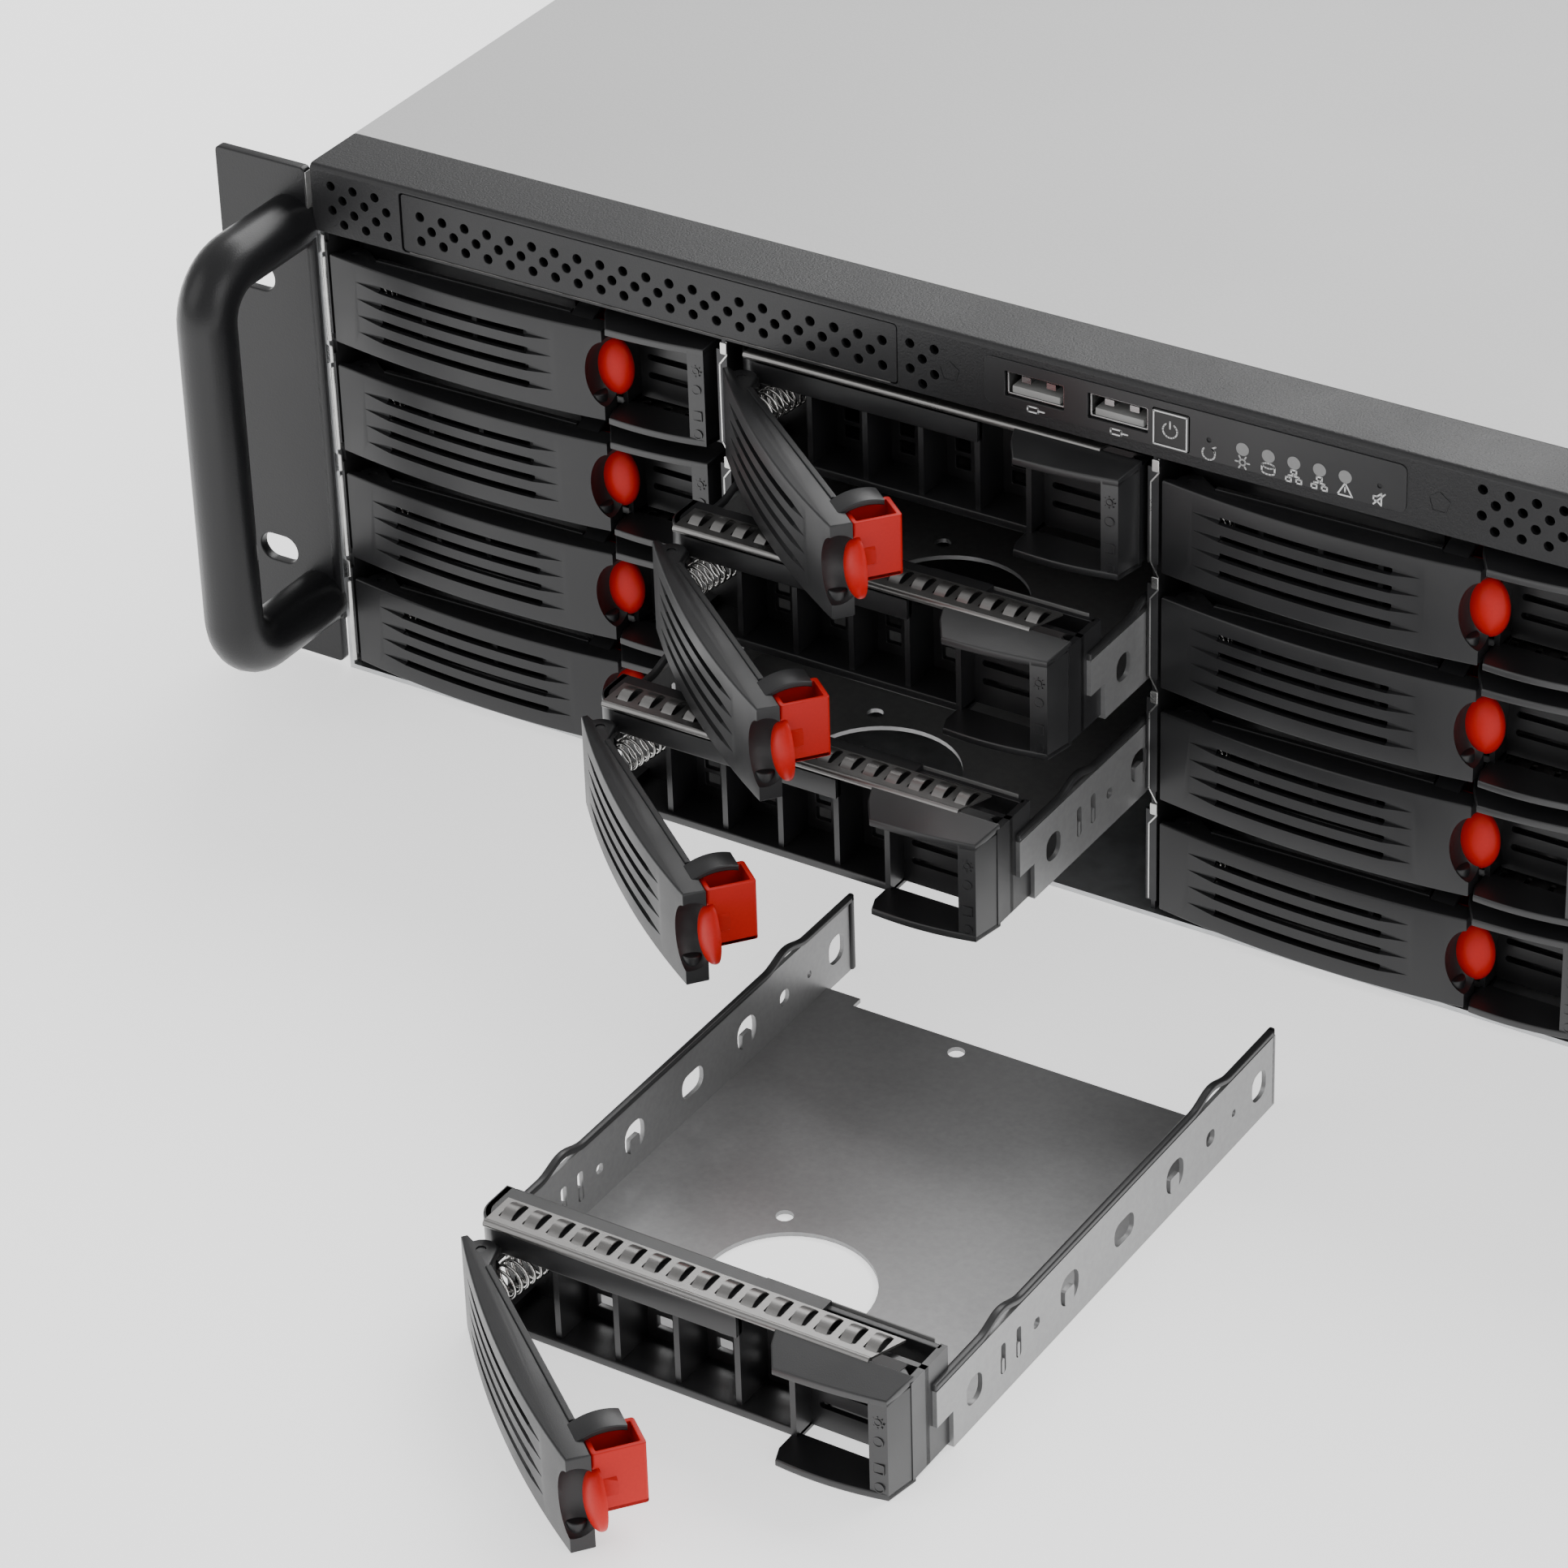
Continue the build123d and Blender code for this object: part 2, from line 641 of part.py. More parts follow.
# The moulded bezel: a shallow box divided by ribs, with the light frame at its right end
rib_first = bezel_left + spring_pocket_width
rib_pitch = (frame_start - rib_first) / compartments
rib_places = [rib_first + rib_pitch * index for index in range(compartments + 1)]
with BuildPart() as bezel:
    box_between((bezel_left, bezel_front, bezel_bottom), (bezel_right, bezel_back, bezel_top))
    hollow_low = bezel_bottom + bezel_wall
    hollow_high = bezel_top - bezel_wall
    hollow_back = bezel_back - bezel_wall
    hollow_edges = [bezel_left + bezel_wall] + rib_places
    for left, right in zip(hollow_edges, hollow_edges[1:]):
        right_edge = right - rib_wall
        lip_cut = right_edge > rib_places[-2]
        box_between(
            (left, bezel_front - 1, hollow_low),
            (right_edge, hollow_back, hollow_high - bezel_lip),
            Mode.SUBTRACT,
        )
        lip_back = bezel_front - 1 if lip_cut else bezel_front + bezel_wall
        box_between((left, lip_back, hollow_low), (right_edge, hollow_back, hollow_high), Mode.SUBTRACT)
    for left in rib_places[:-1]:
        middle = left + (rib_pitch - rib_wall) / 2
        box_between(
            (middle - window_width / 2, hollow_back - 1, (bezel_bottom + bezel_top - window_height) / 2),
            (middle + window_width / 2, bezel_back + 1, (bezel_bottom + bezel_top + window_height) / 2),
            Mode.SUBTRACT,
        )
    with BuildSketch(Plane.YZ.offset(frame_start)):
        with BuildLine():
            Polyline(
                (bezel_front, bezel_bottom),
                (0, bezel_bottom),
                (0, bezel_top - frame_slope),
                (bezel_front, bezel_top),
                close=True,
            )
        make_face()
    extrude(amount=bezel_right - frame_start)
    with BuildSketch(Plane.XY.offset(bezel_bottom)):
        with BuildLine():
            ThreePointArc((frame_start, 0), ((frame_start + bezel_right) / 2, -frame_bulge), (bezel_right, 0))
            Line((bezel_right, 0), (frame_start, 0))
        make_face()
    extrude(amount=bezel_wall)
    box_between(
        (frame_start + rib_wall, -2, hollow_low),
        (bezel_right - frame_column, frame_pocket, hollow_high - frame_slope),
        Mode.SUBTRACT,
    )
    box_between(
        (frame_start - 1, -2, hollow_low),
        (frame_start + rib_wall, bezel_front, hollow_high - frame_slope),
        Mode.SUBTRACT,
    )
    lower_lug = lever_bottom + lever_flange + running_gap
    upper_lug = lever_top - lever_flange - running_gap - lug_sheet
    for lug_low in (lower_lug, upper_lug):
        with BuildSketch(Plane.XY.offset(lug_low)):
            with Locations((pivot_across, pivot_back)):
                RegularPolygon(lug_radius, small_round_sides)
            with Locations((pivot_across, (pivot_back + bezel_front + bezel_wall) / 2)):
                Rectangle(lug_neck, bezel_front + bezel_wall - pivot_back)
        extrude(amount=lug_sheet)
    pin_low = lever_bottom + pin_end_gap
    with BuildSketch(Plane.XY.offset(pin_low)):
        with Locations((pivot_across, pivot_back)):
            RegularPolygon(pin_radius, small_round_sides)
    extrude(amount=lever_top - pin_end_gap - pin_low)

# Springy contact strip along the top of the bezel, with a hem over its front edge
with BuildPart() as gasket:
    with BuildSketch(Plane.YZ.offset(bezel_left + gasket_inset)):
        with BuildLine():
            Polyline(
                (bezel_front - gasket_sheet, bezel_top - gasket_hem),
                (bezel_front - gasket_sheet, bezel_top + gasket_sheet),
                (bezel_front + gasket_depth, bezel_top + gasket_sheet),
                (bezel_front + gasket_depth, bezel_top),
                (bezel_front, bezel_top),
                (bezel_front, bezel_top - gasket_hem),
                close=True,
            )
        make_face()
    extrude(amount=frame_start - bezel_left - gasket_inset)
    box_between(
        (frame_start, bezel_front + gasket_step, bezel_top),
        (bezel_right - gasket_inset, bezel_front + gasket_depth, bezel_top + gasket_sheet),
    )

# Two light pipes in the right column of the frame
with BuildPart() as light_pipes:
    with BuildSketch(Plane.XZ):
        with Locations((bezel_right - frame_column / 2, bezel_bottom + light_pipe_middle)):
            with GridLocations(1, light_pipe_pitch, 1, 2):
                Rectangle(light_pipe_width, light_pipe_height)
    extrude(amount=light_pipe_proud)

# The lever: a curved channel with a round nose at the pivot, four long slots and a notch for the latch
face_start = (pivot_across, pivot_back - nose_radius)
face_end = (lever_end, 0.0)
face_middle = (lever_mid, -lever_bulge)
strap_high = latch_middle + latch_box_height / 2 + running_gap
strap_low = latch_middle - latch_box_height / 2 - running_gap
with BuildPart() as lever:
    with BuildSketch(Plane.XY.offset(lever_bottom)):
        with BuildLine():
            ThreePointArc(face_start, face_middle, face_end)
            Polyline(
                face_end,
                (lever_end, lever_back),
                (pivot_across, pivot_back + nose_radius),
                (pivot_across - nose_radius * cos(radians(60)), pivot_back + nose_radius * sin(radians(60))),
                (pivot_across - nose_radius * cos(radians(30)), pivot_back + nose_radius * sin(radians(30))),
                (pivot_across - nose_radius, pivot_back),
            )
            ThreePointArc(
                (pivot_across - nose_radius, pivot_back),
                (pivot_across - nose_radius * cos(radians(45)), pivot_back - nose_radius * sin(radians(45))),
                face_start,
            )
        make_face()
    extrude(amount=lever_top - lever_bottom)
    nose_inside = nose_radius - lever_wall
    with BuildSketch(Plane.XY.offset(lever_bottom + lever_flange)):
        with BuildLine():
            Polyline(
                (pivot_across, pivot_back - nose_inside),
                (lever_mid - lever_mid / 2, lever_wall - lever_bulge * 0.5),
                (lever_mid, lever_wall - lever_bulge),
                (lever_mid + lever_mid / 2, lever_wall - lever_bulge * 0.5),
                (lever_end + cut_past, lever_wall),
                (lever_end + cut_past, lever_back + nose_radius),
                (pivot_across - nose_radius - cut_past, lever_back + nose_radius),
                (pivot_across - nose_radius - cut_past, pivot_back),
                (pivot_across - nose_inside, pivot_back),
                (pivot_across - nose_inside * cos(radians(45)), pivot_back - nose_inside * sin(radians(45))),
                close=True,
            )
        make_face()
    extrude(amount=lever_top - lever_bottom - 2 * lever_flange, mode=Mode.SUBTRACT)
    for strap_bottom in (strap_high, strap_low - ear_strap_sheet):
        box_between(
            (ear_strap_from, lever_wall, strap_bottom),
            (lever_end - ear_strap_inset, ear_strap_back, strap_bottom + ear_strap_sheet),
        )
    box_between(
        (ear_strap_from, lever_wall, strap_high),
        (ear_strap_from + lever_wall, lever_back, lever_top - lever_flange),
    )
    box_between(
        (ear_strap_from, lever_wall, lever_bottom + lever_flange),
        (ear_strap_from + lever_wall, lever_back, strap_low),
    )
    slot_middle = (lever_slot_from + lever_slot_to) / 2
    slot_center_z = (lever_bottom + lever_top) / 2 + 0.5
    with BuildSketch(Plane.XZ.offset(lever_bulge + 1)):
        with Locations((slot_middle, slot_center_z)):
            with GridLocations(1, lever_slot_pitch, 1, lever_slots):
                Rectangle(lever_slot_to - lever_slot_from, lever_slot_height)
        oval(pad_half_width + notch_gap, pad_half_height + notch_rise, (pad_across, latch_middle))
    extrude(amount=-(lever_bulge + 1 + notch_depth), mode=Mode.SUBTRACT)
    with BuildSketch(Plane.XY):
        with Locations((pivot_across, pivot_back)):
            RegularPolygon(pin_radius + pin_clearance, small_round_sides, major_radius=False)
    extrude(amount=lever_top + 1, mode=Mode.SUBTRACT)

# The red latch: thumb pad, ramp and box
with BuildPart() as latch:
    box_low = latch_middle - latch_box_height / 2
    box_between(
        (latch_box_from, latch_box_front, box_low),
        (latch_box_end, latch_box_back, box_low + latch_box_height),
    )
    with BuildSketch(Plane.XZ.offset(-pad_front)):
        oval(pad_half_width, pad_half_height, (pad_across, latch_middle))
    extrude(amount=-pad_sheet)
    ramp_left = pad_across - pad_half_width + pad_sheet / 2
    ramp_back = latch_box_front + latch_ramp_back
    with BuildSketch(Plane.XY.offset(latch_middle - latch_ramp_height / 2)):
        with BuildLine():
            Polyline(
                (ramp_left, pad_front + pad_sheet),
                (pad_across + 1, pad_front + pad_sheet),
                (latch_box_end, ramp_back),
                (ramp_left, ramp_back),
                close=True,
            )
        make_face()
    extrude(amount=latch_ramp_height)

# Every bay gets its own tray, lever and latch
for column in range(1, bay_columns + 1):
    for row in range(1, bay_rows + 1):
        bay_x = cage_left + (column - 1) * bay_pitch_x
        bay_z = bay_floor + (bay_rows - row) * bay_pitch_z
        place = Vector(bay_x, tray_front - tray_pulled.get((column, row), 0), bay_z)
        lever_angle = -open_lever_angle if (column, row) in tray_pulled else 0
        if (column, row) == loose_tray_bay:
            place = Vector(bay_x + loose_tray_shift_x, tray_front + loose_tray_shift_y, -bezel_bottom)
            lever_angle = -open_lever_angle
        here = Location(place)
        pivot = Location((pivot_across, pivot_back, 0))
        swung = here * pivot * Location((0, 0, 0), (0, 0, lever_angle)) * pivot.inverse()
        bay = f"c{column}r{row}"
        tray_pieces = [piece.part.moved(here) for piece in (pan, bezel, gasket, light_pipes)]
        group(tray_pieces, f"tray_{bay}")
        write(lever.part.moved(swung), f"lever_{bay}")
        write(latch.part.moved(swung), f"latch_{bay}")
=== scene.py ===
from cmath import phase, rect
from math import cos, pi, radians, sin

import bmesh
import bpy
from mathutils import Matrix, Vector


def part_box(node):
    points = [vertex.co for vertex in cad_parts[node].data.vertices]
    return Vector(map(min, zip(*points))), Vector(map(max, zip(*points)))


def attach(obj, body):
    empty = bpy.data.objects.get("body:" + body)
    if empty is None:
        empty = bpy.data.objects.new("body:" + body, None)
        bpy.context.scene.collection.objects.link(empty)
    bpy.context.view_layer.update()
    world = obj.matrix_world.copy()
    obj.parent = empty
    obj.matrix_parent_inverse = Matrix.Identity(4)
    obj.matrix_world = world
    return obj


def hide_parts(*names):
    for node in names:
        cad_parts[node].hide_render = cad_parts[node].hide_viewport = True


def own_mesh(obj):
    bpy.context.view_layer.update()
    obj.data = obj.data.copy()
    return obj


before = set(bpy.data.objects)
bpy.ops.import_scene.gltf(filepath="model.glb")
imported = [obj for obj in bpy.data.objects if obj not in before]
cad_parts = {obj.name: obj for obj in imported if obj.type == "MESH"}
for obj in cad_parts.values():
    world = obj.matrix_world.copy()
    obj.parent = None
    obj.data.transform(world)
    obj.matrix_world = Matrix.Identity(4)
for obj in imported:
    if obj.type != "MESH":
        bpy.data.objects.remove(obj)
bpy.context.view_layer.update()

# The look of a rackmount chassis with sixteen drive trays.
# Sizes are in millimetres; meshes turn to metres when they are finished.
# Sizes in a bay run across, back from the tray front and up from the bay floor.

scene = bpy.context.scene
metre = 0.001

# Camera, solved from the straight edges of the rack front
camera_place = (512.8, -933.8, 708.5)
camera_yaw = 33.07
camera_pitch = 32.31
camera_roll = -1.94
sensor_width = 36.0
focal_length = 133.8
floor_glow = 1.0
sky_strength = 0.62

# Front strip and the perforations in it
strip_front = -2.0
strip_sheet = 1.2
strip_bottom = 115.5
strip_top = 132.0
strip_back = 15.3
strip_side = 215.0
strip_bend = 1.3
hole_radius = 1.15
hole_pitch = 6.0
hole_row_pitch = 3.0
blank_left = -190.8
blank_right = -61.5
blank_top = 130.6
blank_depth = 12.0
socket_places = (-27.9, -7.9)
socket_width = 14.4
socket_height = 6.0
socket_middle = 123.6
socket_wall = 0.45
socket_depth = 10.5
button_middle = (4.8, 123.0)
button_size = 8.8
panel_left = -39.9
panel_right = 59.1
panel_low = 118.2
panel_high = 129.2
panel_back = 9.0
board_sheet = 1.6
film_sheet = 0.3
pinhole_radius = 0.6
lamp_radius = 1.5
left_holes = (-209.5, 127.6)
middle_holes = (-58.4, 126.9)
right_holes = (76.0, 128.3)
right_hole_count = 22
blank_holes = (-185.5, 125.6)
blank_hole_count = 21
# Radius of the thin bead that paints a highlight along the blank's lower edge
highlight_bead_radius = 0.14
press_marks = ((-48.7, 122.6), (66.5, 122.6))
light_places = (21.6, 27.6, 33.5, 39.4, 45.3)
light_up = 123.0
reset_across = 13.7
mute_across = 53.1
sign_low = 119.9
print_sheet = 0.05

# Rack ears and handles
ear_in = 216.3
ear_out = 241.3
ear_low = 1.5
ear_high = 130.5
ear_sheet = 2.5
ear_round = 1.2
ear_leg_inset = 12.0
ear_leg_back = 60.0
ear_leg_sheet = 1.2
slot_across = 232.55
ear_slot = (10.5, 7.0)
ear_slots_up = (27.9, 99.8)
handle_across = 221.2
handle_bar = 13.6
handle_reach = 35.5
handle_low = 18.0
handle_high = 116.0
handle_bend = 11.5

# Bare steel edges of the cage
row_floor = 1.6
row_pitch = 28.3
column_pitch = 107.0
cage_lip_across = 214.0
cage_lip_front = -0.7
cage_lip_radius = 0.85
cage_tab_high = 5.6
cage_tab_wide = 2.0
cage_front = -1.0
cage_line = 0.32
cage_notch = ((1.3, 0.4), (1.3, 3.6), (-0.6, 6.2), (-0.6, 25.4))
cage_top_line = (-0.6, 115.05)
cage_top_radius = 0.35
cage_top_from = -103.0
cage_top_length = 100.0

# Tray pan
pan_side = 1.7
pan_right = 105.3
pan_sheet = 1.0
pan_bottom = 1.2
pan_top = 20.2
pan_start = 15.0
pan_end = 152.0
pan_floor_end = 138.0
pan_wall_step = 10.0
pan_tab_width = 11.0
pan_tab = 3.0
pan_hole = (51.3, 47.0)
pan_hole_radius = 18.2
pan_small_holes = ((39.0, 134.0), (38.2, 66.9))
pan_small_hole = 1.9
wall_windows = ((29.0, 3.0, 3.2), (40.0, 1.0, 3.6), (46.0, 1.0, 3.6), (53.0, 1.2, 1.2), (66.0, 3.6, 3.6),
                (88.0, 4.0, 2.8), (109.0, 3.6, 3.6), (124.0, 1.8, 1.8), (134.0, 0.8, 0.8), (145.0, 3.0, 3.4))
wall_tab_from = 3.5
window_roundness = 0.8
hem_low = 18.6
hem_width = 1.6
hem_humps = (40.0, 125.0)
hem_hump_half = 8.0
hem_hump_rise = 1.8

# Bezel and the light frame at its right end
bezel_left = 2.7
bezel_right = 104.3
bezel_front = 8.5
bezel_back = 21.0
bezel_bottom = 1.0
bezel_top = 26.4
bezel_wall = 2.0
bezel_thin = 1.0
bezel_lip = 6.5
corner_radius = 6.0
rib_wall = 1.3
pocket_width = 19.5
compartments = 4
window_width = 9.5
window_height = 17.0
window_low = 5.0
pane_columns = 2
pane_rows = 4
pane_bar = 1.1
pane_wall = 1.4
frame_start = 78.4
frame_right = 102.9
frame_column = 3.9
frame_high = 24.8
frame_wall = 1.7
frame_front_left = -0.9
frame_front_right = 0.8
frame_top_slope = 0.2
frame_point = 73.5
frame_point_reach = 3.4
frame_bulge = 0.6
frame_tab = 1.3
frame_tab_front = 2.5
frame_side_front = 7.0
recess_slots = (7.0, 11.5, 16.0)
recess_slot = 1.6
frame_pocket = 12.5
sign_relief = 0.35
lamp_sign = 19.6
upper_light = 14.9
square_sign = 8.4
lower_light = 3.8

# Contact strip along the top of the bezel
strip_fingers = 16
gasket_right = 97.5
gasket_depth = 8.4
gasket_sheet = 0.55
gasket_top = 26.95
hem_radius = 0.85
flange_drop = 12.5
finger_width = 2.6
finger_front = 10.9
finger_back = 16.2
finger_rise = 1.2
finger_sheet = 0.25

# Lever and latch
pivot = (8.0, 4.0)
nose_radius = 3.4
lever_start = 2.4
lever_start_front = 1.45
lever_start_back = 2.9
lug_radius = 1.85
lug_sheet = 2.0
lug_levels = (3.0, 19.5)
lug_pocket = 6.5
lug_half = 1.5
pin_radius = 0.95
lever_end = 76.8
lever_bulge = 2.4
lever_wall = 1.2
lever_flange = 1.4
lever_low = 1.0
lever_high = 23.5
slot_from = 16.7
slot_to = 57.3
slot_height = 1.8
slot_pitch = 4.25
slot_count = 4
slot_rise = 0.2
slot_tail = 8.3
tail_depth = 1.0
tail_spread = 1.3
end_block = 5.0
back_narrow = (13.5, 4.2)
strap_from = 66.4
strap_width = 5.8
strap_back = 13.8
strap_rise = 1.7
strap_sheet = 1.3
bowl_centre = (77.4, 1.5, 12.7)
bowl_radii = (5.4, 6.0, 8.4)
latch_from = 67.6
latch_to = 76.0
latch_front = 5.4
latch_back = 16.3
latch_low = 8.3
latch_high = 22.6
latch_middle = 14.2
latch_wall = 1.1
pad_centre = (75.9, 6.2, 12.0)
pad_radii = (4.9, 2.7, 7.2)
rim_roll = (73.6, 2.3)
rim_roll_radius = 2.2
rim_roll_high = 6.8
pad_sheet = 0.55
wedge_reach = 0.8
open_lever_angle = -39.0
open_bays = ("c2r1", "c2r2", "c2r3", "c2r4")
loose_bay = "c2r4"

# Coil spring behind each lever
spring_across = 13.4
spring_up = 15.5
spring_radius = 3.4
spring_wire = 0.72
spring_coils = 10
turn_steps = 24
spring_open_end = (10.8, -0.6)


# Mesh helpers

def arc(centre, radius, start, end, steps=10):
    """Points on a circle, angles in degrees."""
    angles = [radians(start + (end - start) * step / steps) for step in range(steps + 1)]
    return [(centre[0] + radius * cos(a), centre[1] + radius * sin(a)) for a in angles]


def ellipse(centre, half_a, half_b, steps=32):
    """A closed ellipse."""
    angles = [2 * pi * step / steps for step in range(steps)]
    return [(centre[0] + half_a * cos(a), centre[1] + half_b * sin(a)) for a in angles]


def circle(centre, radius, steps=20):
    """A closed circle."""
    return ellipse(centre, radius, radius, steps)


def rectangle(left, low, right, high, corner=0.0, steps=4):
    """A closed rectangle, with round corners if they have a radius."""
    if corner == 0:
        return [(left, low), (right, low), (right, high), (left, high)]
    points = arc((right - corner, low + corner), corner, -90, 0, steps)
    points += arc((right - corner, high - corner), corner, 0, 90, steps)
    points += arc((left + corner, high - corner), corner, 90, 180, steps)
    return points + arc((left + corner, low + corner), corner, 180, 270, steps)


def around(centre, half_width, half_height, corner=0.0, steps=4):
    """A closed rectangle around its centre."""
    x, y = centre
    return rectangle(x - half_width, y - half_height, x + half_width, y + half_height, corner, steps)


def arc_through(first, middle, last, steps):
    """Points on the circle through three points, from the first to the last."""
    a, b, c = complex(*first), complex(*middle), complex(*last)
    third = (c - a) / (b - a)
    centre = a + (b - a) * (abs(third) ** 2 - third) / (third.conjugate() - third)
    turn = phase((c - centre) / (a - centre))
    points = [centre + (a - centre) * rect(1, turn * step / steps) for step in range(steps + 1)]
    return [(point.real, point.imag) for point in points]


def evaluated(holder):
    """The holder's mesh with its modifiers applied; the holder goes."""
    scene.collection.objects.link(holder)
    graph = bpy.context.evaluated_depsgraph_get()
    mesh = bpy.data.meshes.new_from_object(holder.evaluated_get(graph), depsgraph=graph)
    bpy.data.objects.remove(holder)
    return mesh


def plate(loops, thickness, rounding=0.0, steps=2):
    """A sheet lying on XY from z 0 up: the first loop is its outline, the others are holes."""
    curve = bpy.data.curves.new("plate", "CURVE")
    curve.dimensions = "2D"
    curve.fill_mode = "BOTH"
    curve.extrude = thickness / 2 - rounding
    curve.bevel_depth = rounding
    curve.bevel_resolution = steps
    curve.offset = -rounding
    for loop in loops:
        spline = curve.splines.new("POLY")
        spline.points.add(len(loop) - 1)
        for point, (a, b) in zip(spline.points, loop):
            point.co = (a, b, 0, 1)
        spline.use_cyclic_u = True
    mesh = evaluated(bpy.data.objects.new("plate", curve))
    mesh.transform(Matrix.Translation((0, 0, thickness / 2)))
    return mesh


def wire(path, radius, steps):
    """A round bar along a path."""
    curve = bpy.data.curves.new("wire", "CURVE")
    curve.dimensions = "3D"
    curve.bevel_depth = radius
    curve.bevel_resolution = steps
    spline = curve.splines.new("POLY")
    spline.points.add(len(path) - 1)
    for point, place in zip(spline.points, path):
        point.co = (*place, 1)
    curve.use_fill_caps = True
    return evaluated(bpy.data.objects.new("wire", curve))


def lying(mesh, low=0.0):
    """The sheet lies flat, its lower face at that height."""
    mesh.transform(Matrix.Translation((0, 0, low)))
    return mesh


def facing_front(mesh, back=0.0):
    """The sheet stands across the front, its hidden face at that depth."""
    mesh.transform(Matrix.Translation((0, back, 0)) @ Matrix.Rotation(radians(90), 4, "X"))
    return mesh


def facing_side(mesh, left=0.0):
    """The sheet stands along the depth, from that place to the right: its a runs back and its b up."""
    turn = Matrix(((0, 0, 1, 0), (1, 0, 0, 0), (0, 1, 0, 0), (0, 0, 0, 1)))
    mesh.transform(Matrix.Translation((left, 0, 0)) @ turn)
    return mesh


def block(low, high):
    """A box from its lowest to its highest corner."""
    return lying(plate([rectangle(low[0], low[1], high[0], high[1])], high[2] - low[2]), low[2])


def joined(meshes):
    """One mesh from several, which are used up."""
    shape = bmesh.new()
    for mesh in meshes:
        shape.from_mesh(mesh)
        bpy.data.meshes.remove(mesh)
    result = bpy.data.meshes.new("joined")
    shape.to_mesh(result)
    shape.free()
    return result


def combined(base, tools, operation="DIFFERENCE"):
    """The base mesh cut by, or united with, each tool in turn."""
    base = welded(base)
    holder = bpy.data.objects.new("base", base)
    helpers = []
    for tool in tools:
        helper = bpy.data.objects.new("tool", welded(tool))
        scene.collection.objects.link(helper)
        helpers.append(helper)
        step = holder.modifiers.new("step", "BOOLEAN")
        step.object = helper
        step.operation = operation
        step.solver = "EXACT"
    result = evaluated(holder)
    for helper in helpers:
        mesh = helper.data
        bpy.data.objects.remove(helper)
        bpy.data.meshes.remove(mesh)
    return result


def welded(mesh):
    """The mesh with its doubled corners merged and its faces turned outwards."""
    shape = bmesh.new()
    shape.from_mesh(mesh)
    bmesh.ops.remove_doubles(shape, verts=shape.verts, dist=0.0005)
    bmesh.ops.dissolve_degenerate(shape, edges=shape.edges, dist=0.0001)
    bmesh.ops.recalc_face_normals(shape, faces=shape.faces)
    shape.to_mesh(mesh)
    shape.free()
    return mesh


def softened(mesh, width, steps=2, angle=35.0):
    """The mesh with its sharp edges rounded."""
    shape = bmesh.new()
    shape.from_mesh(mesh)
    bmesh.ops.remove_doubles(shape, verts=shape.verts, dist=0.0005)
    bmesh.ops.dissolve_limit(shape, angle_limit=radians(1), verts=shape.verts, edges=shape.edges)
    shape.to_mesh(mesh)
    shape.free()
    holder = bpy.data.objects.new("soft", mesh)
    edges = holder.modifiers.new("edges", "BEVEL")
    edges.width = width
    edges.segments = steps
    edges.limit_method = "ANGLE"
    edges.angle_limit = radians(angle)
    return evaluated(holder)


def finished(mesh, finish, angle=32.0):
    """The mesh in metres, shaded, with its material."""
    mesh.transform(Matrix.Diagonal((metre, metre, metre, 1)))
    mesh.shade_smooth()
    mesh.set_sharp_from_angle(angle=radians(angle))
    mesh.materials.clear()
    mesh.materials.append(finish)
    return mesh


def piece(name, mesh, body, where=None, replaced=()):
    """A finished mesh as a piece that rides on a body."""
    thing = bpy.data.objects.new(name, mesh)
    scene.collection.objects.link(thing)
    if where is not None:
        thing.matrix_world = where
    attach(thing, body)
    if replaced:
        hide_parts(*replaced)
    return thing


# Materials

rough_spread = 0.06


def surface(name, colour, roughness, metallic=0.0, grain=900.0, spread=0.08, relief=0.0, streak=(1, 1, 1),
            patch=25.0, specular=0.5):
    """A surface whose colour, roughness and relief vary with a fine grain and soft patches."""
    made = bpy.data.materials.new(name)
    made.use_nodes = True
    nodes = made.node_tree.nodes

    def node(kind, values):
        """A new node with some of its inputs set."""
        added = nodes.new("ShaderNode" + kind)
        for key, value in values.items():
            added.inputs[key].default_value = value
        return added

    def link(source, output, target, entry):
        """Lead a node's output to another node's input."""
        made.node_tree.links.new(source.outputs[output], target.inputs[entry])

    shader = nodes["Principled BSDF"]
    shader.inputs["Metallic"].default_value = metallic
    shader.inputs["Specular IOR Level"].default_value = specular
    place = node("TexCoord", {})
    stretch = node("Mapping", {"Scale": streak})
    link(place, "Object", stretch, "Vector")
    fine = node("TexNoise", {"Scale": grain, "Detail": 3.0})
    link(stretch, "Vector", fine, "Vector")
    broad = node("TexNoise", {"Scale": patch, "Detail": 4.0})
    link(place, "Object", broad, "Vector")
    both = node("Math", {})
    both.operation = "ADD"
    link(fine, "Fac", both, 0)
    link(broad, "Fac", both, 1)
    tint = node("MapRange", {"From Min": 0.7, "From Max": 1.3})
    link(both, "Value", tint, "Value")
    shades = node("ValToRGB", {})
    for stop, side in zip(shades.color_ramp.elements, (-1, 1)):
        stop.color = (*[max(0.0, part * (1 + side * spread)) for part in colour], 1)
    link(tint, "Result", shades, "Fac")
    link(shades, "Color", shader, "Base Color")
    gloss = node("MapRange", {
        "From Min": 0.3,
        "From Max": 0.7,
        "To Min": max(0.02, roughness - rough_spread),
        "To Max": min(1.0, roughness + rough_spread),
    })
    link(broad, "Fac", gloss, "Value")
    link(gloss, "Result", shader, "Roughness")
    if relief:
        bump = node("Bump", {"Strength": relief, "Distance": 0.0001})
        link(fine, "Fac", bump, "Height")
        link(bump, "Normal", shader, "Normal")
    return made


